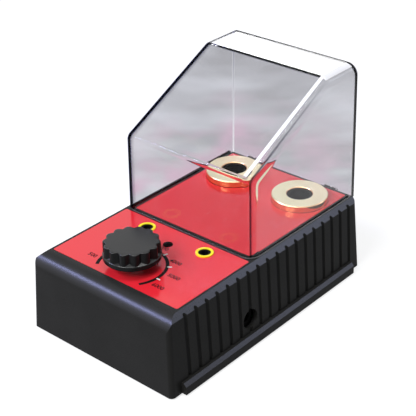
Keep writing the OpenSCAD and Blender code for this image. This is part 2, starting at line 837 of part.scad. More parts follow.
module spark_coil() {
    lead_z = sleeve_floor - nut_h - lug_t / 2;
    color([0.13, 0.13, 0.2])
    difference() {
        union() {
            translate([0, coil_y, base_top]) linear_extrude(coil_h)
            round_rect(coil_w / 2, -coil_l / 2, coil_l / 2, 3, 3);
            translate([0, coil_y, base_top + coil_ear_t]) linear_extrude(coil_ear_t)
            square([coil_w + 2 * coil_ear, 2 * coil_ear], center = true);
            for (side = [-1, 1]) {
                translate([side * plug_place[0], coil_y + coil_l / 2 - coil_boss_l, lead_z])
                rotate([-90, 0, 0]) cylinder(r = lead_r + 0.6, h = 2 * coil_boss_l);
            }
        }
        for (x = coil_holes()) translate([x, coil_y, base_top]) {
            cylinder(r = screw_r + screw_clear, h = 2 * coil_ear_t + over);
        }
    }
}

module coil_screws() {
    color("silver")
    for (x = coil_holes()) {
        translate([x, coil_y, base_top + 2 * coil_ear_t + screw_head_h]) mirror([0, 0, 1])
        screw(0, screw_head_h + 2 * coil_ear_t);
    }
}

module circuit_board() {
    color([0.05, 0.35, 0.15])
    difference() {
        translate([board_x, board_y, board_z]) linear_extrude(board_t)
        round_rect(board_w / 2, -board_l / 2, board_l / 2, 1, 1);
        for (p = board_holes()) translate([p[0], p[1], board_z - over]) {
            cylinder(r = screw_r + screw_clear, h = board_t + 2 * over);
        }
    }
}

module board_screws() {
    color("silver")
    for (p = board_holes()) {
        translate([p[0], p[1], board_z + board_t + screw_head_h]) mirror([0, 0, 1])
        screw(0, screw_head_h + board_t + base_t / 2);
    }
}

module supply_inlet() {
    face = wall_x(inlet_z) - wall / cos(draft) - base_clear - over / 2;
    color([0.07, 0.07, 0.07])
    difference() {
        translate([face - inlet_body_l, inlet_place[1] - inlet_body_w / 2, board_z + board_t])
        cube([inlet_body_l, inlet_body_w, inlet_body_h]);
        translate([face - inlet_depth, inlet_place[1], inlet_z]) rotate([0, 90, 0])
        cylinder(r = inlet_bore_r, h = inlet_depth + over);
        translate([face - inlet_body_l - over, inlet_place[1], inlet_z]) rotate([0, 90, 0])
        cylinder(r = inlet_pin_r, h = inlet_body_l);
    }
}

module inlet_pin() {
    face = wall_x(inlet_z) - wall / cos(draft) - base_clear - over / 2;
    color("silver")
    translate([face - inlet_body_l, inlet_place[1], inlet_z]) rotate([0, 90, 0])
    cylinder(r = inlet_pin_r, h = inlet_body_l - over);
}

module storage_capacitor() {
    color([0.1, 0.15, 0.4])
    translate([board_x - board_w / 4, board_y - board_l / 5, board_z + board_t])
    cylinder(r = cap_r, h = cap_h);
}

module timer_chip() {
    color([0.08, 0.08, 0.08])
    translate([board_x + board_w / 10, board_y - board_l / 5, board_z + board_t + chip_h / 2])
    cube([chip_l, chip_w, chip_h], center = true);
}

module heat_sink() {
    color([0.7, 0.7, 0.72])
    translate([sink_place[0] - sink_w / 2, sink_place[1], sink_place[2]]) {
        cube([sink_w, sink_fin, sink_h]);
        for (i = [0 : 4]) translate([i * (sink_w - sink_fin) / 4, sink_fin / 2, 0]) {
            cube([sink_fin, sink_fin_l, sink_h]);
        }
    }
}

module drive_transistor() {
    color([0.15, 0.15, 0.15])
    translate([sink_place[0] - tran_w / 2, sink_place[1] - tran_t, sink_place[2]])
    cube([tran_w, tran_t, tran_h]);
}

upper_case();
base_plate();
base_screws();
rubber_feet();
front_panel();
test_panel();
hood();
hinge_pin(-1);  // hinge_pin_left
hinge_pin(1);  // hinge_pin_right
speed_knob();
control_shaft();
control_body();
control_washer();
control_nut();
power_lamp();
lamp_clip();
socket_collar(-1);  // socket_collar_left
socket_collar(1);  // socket_collar_right
socket_sleeve(-1);  // socket_sleeve_left
socket_sleeve(1);  // socket_sleeve_right
socket_contact(-1);  // socket_contact_left
socket_contact(1);  // socket_contact_right
socket_nut(-1);  // socket_nut_left
socket_nut(1);  // socket_nut_right
plug_ring(-1);  // plug_ring_left
plug_ring(1);  // plug_ring_right
plug_sleeve(-1);  // plug_sleeve_left
plug_sleeve(1);  // plug_sleeve_right
ring_nut(-1);  // ring_nut_left
ring_nut(1);  // ring_nut_right
earth_strap();
spark_contact(-1);  // spark_contact_left
spark_contact(1);  // spark_contact_right
contact_nut(-1);  // contact_nut_left
contact_nut(1);  // contact_nut_right
spark_lead(-1);  // spark_lead_left
spark_lead(1);  // spark_lead_right
spark_coil();
coil_screws();
circuit_board();
board_screws();
supply_inlet();
inlet_pin();
storage_capacitor();
drive_transistor();
heat_sink();
timer_chip();
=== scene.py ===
"""Looks of a bench tester for spark plugs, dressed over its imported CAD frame.

The frame brings the exact solids and their bodies. This script gives each solid its finish, models
the clear hood, the knob, the dial print and the small fittings, and sets up floor, lamps and camera.
Lengths are in millimetres in the classes and in metres in the meshes. Angles are in degrees.
"""
import logging
import math
from collections.abc import Callable, Iterator, Sequence
from contextlib import contextmanager
from dataclasses import dataclass, field
from enum import Enum
from functools import reduce
from typing import NamedTuple

import bmesh
import bpy
from mathutils import Matrix, Vector


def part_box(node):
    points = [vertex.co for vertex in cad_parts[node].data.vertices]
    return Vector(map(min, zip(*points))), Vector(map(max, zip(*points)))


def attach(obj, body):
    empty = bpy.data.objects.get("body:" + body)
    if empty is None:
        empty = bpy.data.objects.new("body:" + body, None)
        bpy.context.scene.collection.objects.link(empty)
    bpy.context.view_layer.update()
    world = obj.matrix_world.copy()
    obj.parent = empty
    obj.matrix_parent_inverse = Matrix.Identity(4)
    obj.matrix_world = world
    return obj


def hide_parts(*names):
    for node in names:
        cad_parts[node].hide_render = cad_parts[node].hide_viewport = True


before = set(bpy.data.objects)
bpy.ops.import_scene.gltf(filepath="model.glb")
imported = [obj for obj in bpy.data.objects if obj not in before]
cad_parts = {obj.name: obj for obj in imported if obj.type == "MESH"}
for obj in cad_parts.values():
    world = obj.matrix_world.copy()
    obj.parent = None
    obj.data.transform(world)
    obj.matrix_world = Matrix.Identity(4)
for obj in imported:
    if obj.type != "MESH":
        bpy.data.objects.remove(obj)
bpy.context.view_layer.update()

log = logging.getLogger("tester")
PAINTED_EDGE_SHADE = "painted_edge_shade"
PAINTED_WALL_SHADE = "painted_wall_shade"
# Metres in a millimetre
MM = 0.001
# Digits kept of a length in millimetres that is read from the frame
DIGITS = 3
# Places closer than this count as one
NEAR = 0.01
# How far a cutting tool reaches past what it cuts
OVER = 1.0
# Part of a direction from which a normal counts as facing it
FACING = 0.9
# Edges that turn more than this are broken by a small bevel
SHARP = 60.0

Pair = tuple[float, float]
Point = tuple[float, float, float]
Colour = tuple[float, float, float]
Socket = bpy.types.NodeSocket
Inputs = dict[str | int, object]
Test = Callable[[Vector], bool]
PairTest = Callable[[Vector, Vector], bool]
Measure = Callable[[Vector, Vector], float]

ORIGIN: Point = (0.0, 0.0, 0.0)
EVEN: Point = (1.0, 1.0, 1.0)
WHITE: Colour = (1.0, 1.0, 1.0)


class Body(Enum):
    """Bodies of the frame that pieces ride on."""

    CASE = "case"
    KNOB = "knob"
    HOOD = "hood"


class Side(Enum):
    """The two sides of the tester, seen from the dial."""

    LEFT = -1
    RIGHT = 1

    @property
    def tag(self) -> str:
        """Ending of a piece's name on this side."""
        return self.name.lower()


class Spot(NamedTuple):
    """A place in millimetres."""

    x: float
    y: float
    z: float

    @classmethod
    def at(cls, place: Vector) -> "Spot":
        """Rounded place of a point of the frame, which is in metres."""
        return cls(*(round(length / MM, DIGITS) for length in place))


def box_of(node: str) -> tuple[Spot, Spot]:
    """Lowest and highest corner of a CAD node."""
    low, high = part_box(node)
    return Spot.at(low), Spot.at(high)


def middle_of(node: str) -> Spot:
    """Middle of a CAD node's box."""
    low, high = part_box(node)
    return Spot.at((low + high) / 2)


class Tree:
    """Node tree of a material or of the world, built step by step."""

    def __init__(self, owner: bpy.types.Material | bpy.types.World) -> None:
        """Empties the owner's tree.

        Args:
            owner: material or world.
        """
        owner.use_nodes = True
        self.tree = owner.node_tree
        self.tree.nodes.clear()

    def feed(self, target: Socket, value: object) -> None:
        """Links a socket to an input, or sets the input.

        Args:
            target: the input.
            value: socket, number, vector, or colour without its alpha.
        """
        if isinstance(value, Socket):
            self.tree.links.new(value, target)
        else:
            target.default_value = (*value, 1.0) if target.type == "RGBA" else value

    def node(self, kind: str, inputs: Inputs | None = None, **settings: object) -> bpy.types.Node:
        """Adds a node.

        Args:
            kind: type of the node, without its ShaderNode prefix.
            inputs: values, or sockets to link, by input name or number.
            settings: attributes of the node.

        Returns:
            The new node.
        """
        made = self.tree.nodes.new("ShaderNode" + kind)
        for key, value in settings.items():
            setattr(made, key, value)
        for key, value in (inputs or {}).items():
            self.feed(made.inputs[key], value)
        return made

    def calc(self, operation: str, first: Socket | float, second: Socket | float) -> Socket:
        """Number worked out from two others."""
        return self.node("Math", {0: first, 1: second}, operation=operation).outputs[0]

    def rays(self, *kinds: str) -> Socket:
        """Factor that is 1 for some kinds of rays and 0 for all others.

        Args:
            kinds: names of the kinds, such as Shadow.

        Returns:
            Factor socket.
        """
        path = self.node("LightPath")
        flags = [path.outputs["Is %s Ray" % kind] for kind in kinds]
        return reduce(lambda one, two: self.calc("MAXIMUM", one, two), flags)


class Recipe(Tree):
    """Node tree of one material, around a Principled shader."""

    def __init__(self, name: str) -> None:
        """Starts a material.

        Args:
            name: name of the material.
        """
        self.material = bpy.data.materials.new(name)
        super().__init__(self.material)
        self.shader = self.node("BsdfPrincipled")
        self.output = self.node("OutputMaterial", {"Surface": self.shader.outputs["BSDF"]})

    def fill(self, **inputs: object) -> None:
        """Feeds inputs of the Principled shader, with _ for each space in a name."""
        for key, value in inputs.items():
            self.feed(self.shader.inputs[key.replace("_", " ")], value)

    def place(self, stretch: Point = EVEN, centre: Point = ORIGIN, turn: Point = ORIGIN) -> Socket:
        """Object coordinates, turned and stretched about a centre.

        Args:
            stretch: factor along each axis, after the turn.
            centre: point in millimetres that becomes the origin.
            turn: degrees about each axis by which the pattern lies turned.

        Returns:
            Vector socket.
        """
        inputs = {
            "Vector": self.node("TexCoord").outputs["Object"],
            "Location": tuple(c * MM for c in centre),
            "Rotation": tuple(math.radians(t) for t in turn),
            "Scale": tuple(1.0 / s for s in stretch),
        }
        return self.node("Mapping", inputs, vector_type="TEXTURE").outputs["Vector"]

    def noise(self, size: float, detail: float = 3.0, vector: Socket | None = None) -> Socket:
        """Soft noise of a given grain.

        Args:
            size: grain in millimetres.
            detail: octaves of finer noise.
            vector: coordinates, or None for plain object coordinates.

        Returns:
            Factor socket.
        """
        inputs = {"Vector": vector or self.place(), "Scale": 1 / (size * MM), "Detail": detail}
        return self.node("TexNoise", inputs).outputs["Fac"]

    def span(self, source: Socket, low: float, high: float, start: float = 0.3, end: float = 0.7) -> Socket:
        """Maps a factor from start..end to low..high."""
        inputs = {"Value": source, "From Min": start, "From Max": end, "To Min": low, "To Max": high}
        return self.node("MapRange", inputs).outputs["Result"]

    def mix(self, factor: Socket | float, first: Socket | Colour, second: Socket | Colour) -> Socket:
        """Mixes two colours; the factor is the share of the second one."""
        return self.node("Mix", {0: factor, 6: first, 7: second}, data_type="RGBA").outputs[2]

    def tilt(self) -> Socket:
        """How far a face looks up, from -1 to 1."""
        normal = self.node("NewGeometry").outputs["Normal"]
        return self.node("SeparateXYZ", {0: normal}).outputs["Z"]

    def bump(self, height: Socket, depth: float, strength: float = 1.0) -> None:
        """Raises the surface by a factor, depth millimetres high."""
        made = self.node("Bump", {"Height": height, "Distance": depth * MM, "Strength": strength})
        self.fill(Normal=made.outputs["Normal"])


@dataclass(frozen=True)
class Finish:
    """Surface that is made into a material."""

    name: str

    def material(self) -> bpy.types.Material:
        """Builds the material.

        Returns:
            The new material.
        """
        recipe = Recipe(self.name)
        self.lay_out(recipe)
        return recipe.material

    def lay_out(self, recipe: Recipe) -> None:
        """Fills a recipe with the nodes of the finish."""
        raise NotImplementedError(self.name)


@dataclass(frozen=True)
class Moulded(Finish):
    """Injection-moulded plastic with a fine eroded grain and a slow mottle.

    Slopes and level tops can be polished more than the walls.
    """

    colour: Colour
    shade: Colour
    rough: Pair = (0.36, 0.46)
    specular: float = 0.4
    grain: float = 0.35
    relief: float = 0.012
    polish: Pair | None = None
    sheen: Colour = WHITE
    mottle: float = 14.0
    tilts: Point = (0.3, 0.7, 0.97)

    def gloss(self, recipe: Recipe) -> Socket | float:
        """Specular level, which follows the tilt of a face from wall over slope to level top.

        Args:
            recipe: recipe that takes the nodes.

        Returns:
            Socket, or a number where nothing is polished.
        """
        if self.polish is None:
            return self.specular
        ramp = recipe.node("ValToRGB", {0: recipe.tilt()})
        stops = ramp.color_ramp.elements
        stops.new(self.tilts[1])
        for stop, place, level in zip(stops, self.tilts, (self.specular, *self.polish)):
            stop.position = place
            stop.color = (level, level, level, 1.0)
        return ramp.outputs["Color"]

    def lay_out(self, recipe: Recipe) -> None:
        """Lays out the plastic.

        Args:
            recipe: recipe that takes the nodes.
        """
        mottle = recipe.span(recipe.noise(self.mottle, 2.0), 0.0, 1.0)
        grain = recipe.noise(self.grain, 2.0)
        recipe.fill(
            Base_Color=recipe.mix(mottle, self.colour, self.shade),
            Roughness=recipe.span(grain, *self.rough),
            Specular_IOR_Level=self.gloss(recipe),
            Specular_Tint=self.sheen,
        )
        recipe.bump(grain, self.relief)


@dataclass(frozen=True)
class Lacquered(Finish):
    """Printed and lacquered sheet: even colour under a smooth, faintly rippled gloss."""

    colour: Colour
    shade: Colour
    rough: Pair = (0.13, 0.19)
    specular: float = 0.58
    speck: float = 0.5
    haze: float = 6.0
    ripple: float = 2.5
    relief: float = 0.004

    def lay_out(self, recipe: Recipe) -> None:
        """Lays out the sheet.

        Args:
            recipe: recipe that takes the nodes.
        """
        speck = recipe.span(recipe.noise(self.speck, 2.0), 0.0, 1.0)
        recipe.fill(
            Base_Color=recipe.mix(speck, self.colour, self.shade),
            Roughness=recipe.span(recipe.noise(self.haze), *self.rough),
            Specular_IOR_Level=self.specular,
        )
        recipe.bump(recipe.noise(self.ripple, 1.0), self.relief)


@dataclass(frozen=True)
class Turned(Finish):
    """Lathe-turned metal with fine rings about its axis and smoother upright sides."""

    # Radians that a wave texture runs through in one unit of its scale
    PHASE = 20.0

    colour: Colour
    shade: Colour
    # Colour of the upright sides: a painted orange-red reflection of the red panel
    flank_painted_reflection: Colour
    axis: Pair
    pitch: float = 0.3
    wobble: float = 0.6
    rough: Pair = (0.34, 0.46)
    metal: float = 0.86
    side: float = 0.2
    side_tilts: Pair = (0.2, 0.95)
    flank_reflection_tilts: Pair = (0.6, 0.95)
    blotch: float = 5.0
    relief: float = 0.004
    strength: float = 0.6

    def lay_out(self, recipe: Recipe) -> None:
        """Lays out the metal.

        Args:
            recipe: recipe that takes the nodes.
        """
        inputs = {
            "Vector": recipe.place(centre=(*self.axis, 0.0)),
            "Scale": math.tau / (self.PHASE * self.pitch * MM),
            "Distortion": self.wobble,
            "Detail": 1.0,
        }
        wave = recipe.node("TexWave", inputs, wave_type="RINGS", rings_direction="Z")
        rings = wave.outputs["Fac"]
        tilt = recipe.tilt()
        shine = recipe.span(tilt, self.side, 1.0, *self.side_tilts)
        blotches = recipe.span(recipe.noise(self.blotch), 0.0, 1.0)
        face = recipe.mix(blotches, self.colour, self.shade)
        recipe.fill(
            Base_Color=recipe.mix(recipe.span(tilt, 0.0, 1.0, *self.flank_reflection_tilts), self.flank_painted_reflection, face),
            Metallic=self.metal,
            Roughness=recipe.calc("MULTIPLY", recipe.span(rings, *self.rough, 0.0, 1.0), shine),
        )
        recipe.bump(rings, self.relief, self.strength)


@dataclass(frozen=True)
class Plated(Finish):
    """Plated or rolled metal with a fine drawn grain."""

    colour: Colour
    shade: Colour
    rough: Pair = (0.24, 0.36)
    stretch: Point = (1.0, 1.0, 6.0)
    grain: float = 0.5
    relief: float = 0.005
    strength: float = 0.5

    def lay_out(self, recipe: Recipe) -> None:
        """Lays out the metal.

        Args:
            recipe: recipe that takes the nodes.
        """
        grain = recipe.noise(self.grain, 3.0, recipe.place(self.stretch))
        recipe.fill(
            Base_Color=recipe.mix(recipe.span(grain, 0.0, 1.0), self.colour, self.shade),
            Metallic=1.0,
            Roughness=recipe.span(grain, *self.rough),
        )
        recipe.bump(grain, self.relief, self.strength)


@dataclass(frozen=True)
class Ink(Finish):
    """Screen-printed ink with slightly uneven cover."""

    colour: Colour
    shade: Colour
    rough: Pair = (0.35, 0.5)
    specular: float = 0.04
    cover: float = 0.3

    def lay_out(self, recipe: Recipe) -> None:
        """Lays out the ink.

        Args:
            recipe: recipe that takes the nodes.
        """
        cover = recipe.noise(self.cover)
        recipe.fill(
            Base_Color=recipe.mix(recipe.span(cover, 0.0, 1.0), self.colour, self.shade),
            Roughness=recipe.span(cover, *self.rough),
            Specular_IOR_Level=self.specular,
        )


@dataclass(frozen=True)
class Acrylic(Finish):
    """Clear moulded acrylic with painted grey shade and painted reflections on its far walls, and painted
    dark shade along its edges.

    A painted pink reflection of the red panel lies low on the far walls. Rays from lamps and soft light
    pass unbent.
    """

    clear: Colour
    # Painted grey shade of the far walls, painted reflection streaks on it, and a painted pink reflection of
    # the red panel
    smoke: Colour
    painted_reflection_streak: Colour
    painted_panel_reflection: Colour
    # Painted dark shade of the rounded edges
    edge: Colour
    depth: Colour
    density: float
    lie: Point
    reflection_streak_size: float = 26.0
    reflection_streak_stretch: Point = (0.25, 0.25, 1.6)
    reflection_streak_span: Pair = (0.35, 0.65)
    panel_reflection_size: float = 24.0
    panel_reflection_stretch: Point = (0.5, 0.5, 1.3)
    panel_reflection_span: Pair = (0.42, 0.62)
    panel_reflection_fade: Pair = (50.0, 86.0)
    ior: float = 1.42
    tint: Colour = (0.03, 0.03, 0.035)
    film: Colour = (0.96, 0.96, 0.97)

    def far_walls_painted(self, recipe: Recipe) -> Socket:
        """Colour of the far walls: painted grey shade and painted reflections.

        Args:
            recipe: recipe that takes the nodes.

        Returns:
            Colour socket.
        """
        # Painted reflection streaks over the painted grey shade
        streak_noise = recipe.noise(self.reflection_streak_size, 2.0, recipe.place(self.reflection_streak_stretch, turn=self.lie))
        with_reflection_streaks = recipe.mix(recipe.span(streak_noise, 0.0, 1.0, *self.reflection_streak_span), self.smoke, self.painted_reflection_streak)
        # Painted pink reflection of the red panel, fading out upwards
        height = recipe.node("SeparateXYZ", {0: recipe.place()}).outputs["Z"]
        near = recipe.span(height, 1.0, 0.0, *(level * MM for level in self.panel_reflection_fade))
        panel_reflection_noise = recipe.noise(self.panel_reflection_size, 2.0, recipe.place(self.panel_reflection_stretch, turn=self.lie))
        panel_reflection_share = recipe.calc("MULTIPLY", near, recipe.span(panel_reflection_noise, 0.0, 1.0, *self.panel_reflection_span))
        return recipe.mix(panel_reflection_share, with_reflection_streaks, self.painted_panel_reflection)

    def lay_out(self, recipe: Recipe) -> None:
        """Lays out the acrylic.

        Args:
            recipe: recipe that takes the nodes.
        """
        # Mask of the painted grey shade on the far walls
        far = recipe.node("Attribute", attribute_name=PAINTED_WALL_SHADE).outputs["Fac"]
        # Mask of the painted dark edge shade, where an IOR of 1 also takes away reflection and refraction
        rounded = recipe.node("Attribute", attribute_name=PAINTED_EDGE_SHADE).outputs["Fac"]
        walls = recipe.mix(far, self.clear, self.far_walls_painted(recipe))
        recipe.fill(
            Base_Color=recipe.mix(rounded, walls, self.edge),
            Roughness=0.0,
            IOR=recipe.span(rounded, self.ior, 1.0, 0.0, 1.0),
            Specular_Tint=self.tint,
            Transmission_Weight=1.0,
        )
        soft = recipe.rays("Shadow", "Diffuse")
        film = recipe.node("BsdfTransparent", {"Color": self.film}).outputs["BSDF"]
        both = recipe.node("MixShader", {0: soft, 1: recipe.shader.outputs["BSDF"], 2: film})
        recipe.feed(recipe.output.inputs["Surface"], both.outputs["Shader"])
        dense = recipe.calc("MULTIPLY", recipe.calc("SUBTRACT", 1.0, soft), self.density)
        fog = recipe.node("VolumeAbsorption", {"Color": self.depth, "Density": dense})
        recipe.feed(recipe.output.inputs["Volume"], fog.outputs["Volume"])


@dataclass(frozen=True)
class BoardMask(Finish):
    """Green solder mask with darker copper lanes under it."""

    colour: Colour
    lane: Colour
    scale: float = 90.0
    gap: float = 0.06
    lane_l: float = 0.9
    lane_w: float = 0.28
    rough: Pair = (0.25, 0.4)
    haze: float = 1.0
    relief: float = 0.03

    def lay_out(self, recipe: Recipe) -> None:
        """Lays out the board.

        Args:
            recipe: recipe that takes the nodes.
        """
        inputs = {
            "Vector": recipe.place(),
            "Scale": self.scale,
            "Mortar Size": self.gap,
            "Brick Width": self.lane_l,
            "Row Height": self.lane_w,
        }
        lanes = recipe.node("TexBrick", inputs).outputs["Fac"]
        recipe.fill(
            Base_Color=recipe.mix(lanes, self.colour, self.lane),
            Roughness=recipe.span(recipe.noise(self.haze), *self.rough),
        )
        recipe.bump(lanes, self.relief)


class Finishes:
    """The finishes of this tester, each made into a material once."""

    CASE_BLACK = Moulded(
        "case_black", (0.0195, 0.0193, 0.0178), (0.0225, 0.0222, 0.0206), (0.25, 0.33),
        specular=0.03, grain=0.3, relief=0.003, polish=(0.44, 0.09), sheen=(0.74, 0.77, 1.0),
    )
    KERB_BLACK = Moulded(
        "kerb_black", (0.016, 0.0165, 0.017), (0.02, 0.0205, 0.021), (0.1, 0.16),
        specular=1.0, grain=0.6, relief=0.001,
    )
    BASE_BLACK = Moulded(
        "base_black", (0.014, 0.014, 0.0145), (0.018, 0.018, 0.0185), (0.5, 0.62),
        specular=0.35, grain=0.5, relief=0.02,
    )
    KNOB_BLACK = Moulded(
        "knob_black", (0.008, 0.0082, 0.0084), (0.01, 0.0102, 0.0105), (0.16, 0.22),
        specular=0.06, grain=0.3, relief=0.0015, polish=(0.4, 0.4),
    )
    BORE_BLACK = Moulded("bore_black", (0.003, 0.003, 0.003), (0.004, 0.004, 0.004), (0.5, 0.6), 0.05)
    PART_BLACK = Moulded("part_black", (0.012, 0.012, 0.012), (0.018, 0.018, 0.018), (0.35, 0.5), 0.45)
    PANEL_RED = Lacquered("panel_red", (0.75, 0.02, 0.032), (0.72, 0.0195, 0.031))
    COLLAR_YELLOW = Moulded("collar_yellow", (0.93, 0.8, 0.006), (0.88, 0.74, 0.006), (0.25, 0.35), 0.45)
    LENS_DARK = Moulded(
        "lens_dark", (0.003, 0.002, 0.002), (0.005, 0.003, 0.003), (0.2, 0.3),
        specular=0.02, grain=0.8, relief=0.003,
    )
    STEEL = Plated("steel", (0.62, 0.62, 0.63), (0.5, 0.5, 0.51))
    BRASS = Plated("brass", (0.83, 0.66, 0.33), (0.76, 0.58, 0.27))
    ALUMINIUM = Plated("aluminium", (0.74, 0.74, 0.75), (0.62, 0.62, 0.63), (0.3, 0.45))
    RUBBER = Moulded(
        "rubber", (0.016, 0.016, 0.016), (0.022, 0.022, 0.022), (0.7, 0.85),
        specular=0.25, grain=0.4, relief=0.03,
    )
    LEAD_RED = Moulded("lead_red", (0.42, 0.02, 0.02), (0.36, 0.016, 0.016), (0.4, 0.5), 0.4)
    COIL_BLUE = Moulded(
        "coil_blue", (0.014, 0.016, 0.03), (0.018, 0.02, 0.036), (0.3, 0.42),
        specular=0.45, grain=0.6, relief=0.02,
    )
    CAP_BLUE = Moulded("cap_blue", (0.02, 0.035, 0.13), (0.024, 0.04, 0.15), (0.22, 0.3), 0.5)
    BOARD = BoardMask("board_green", (0.012, 0.1, 0.03), (0.02, 0.16, 0.05))
    PRINT_BLACK = Ink("print_black", (0.006, 0.006, 0.006), (0.012, 0.01, 0.01))
    PRINT_WHITE = Ink("print_white", (0.82, 0.81, 0.8), (0.76, 0.74, 0.73))
    HOOD_CLEAR = Acrylic(
        "hood_clear",
        clear=(0.97, 0.97, 0.975),
        # Far-wall grey, its streaks and its pink wash are painted shade and painted reflections; the edge
        # colour is painted dark shade
        smoke=(0.44, 0.44, 0.455),
        painted_reflection_streak=(0.69, 0.7, 0.735),
        painted_panel_reflection=(0.66, 0.49, 0.58),
        edge=(0.006, 0.01, 0.07),
        depth=(0.5, 0.5, 0.53),
        density=60.0,
        lie=(-29.5, 0.0, 41.7),
    )
    # Opaque white for the right edge of the hood: a painted highlight
    EDGE_LIGHT = Moulded(
        "painted_edge_highlight", (0.93, 0.93, 0.94), (0.88, 0.88, 0.9), (0.1, 0.16),
        specular=0.5, grain=3.0, relief=0.001,
    )

    _made: dict[str, bpy.types.Material] = {}

    @classmethod
    def made(cls, finish: Finish) -> bpy.types.Material:
        """Material of a finish, built on its first use.

        Args:
            finish: one of the finishes.

        Returns:
            Its only material.
        """
        if finish.name not in cls._made:
            cls._made[finish.name] = finish.material()
        return cls._made[finish.name]

    @classmethod
    def brass_ring(cls, side: Side, axis: Pair) -> Turned:
        """Turned brass of one plug ring, with its rings about that seat's axis."""
        # The third colour is the painted orange-red reflection of the red panel on the ring's upright sides
        colours = ((0.97, 0.92, 0.63), (0.94, 0.88, 0.58), (0.82, 0.4, 0.17))
        return Turned("ring_brass_" + side.tag, *colours, axis)


def coat(finish: Finish, *nodes: str) -> None:
    """Gives CAD nodes their finish.

    Args:
        finish: one of the finishes.
        nodes: names of the CAD nodes.
    """
    for node in nodes:
        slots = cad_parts[node].data.materials
        slots.clear()
        slots.append(Finishes.made(finish))
        log.info("coated %s with %s", node, finish.name)


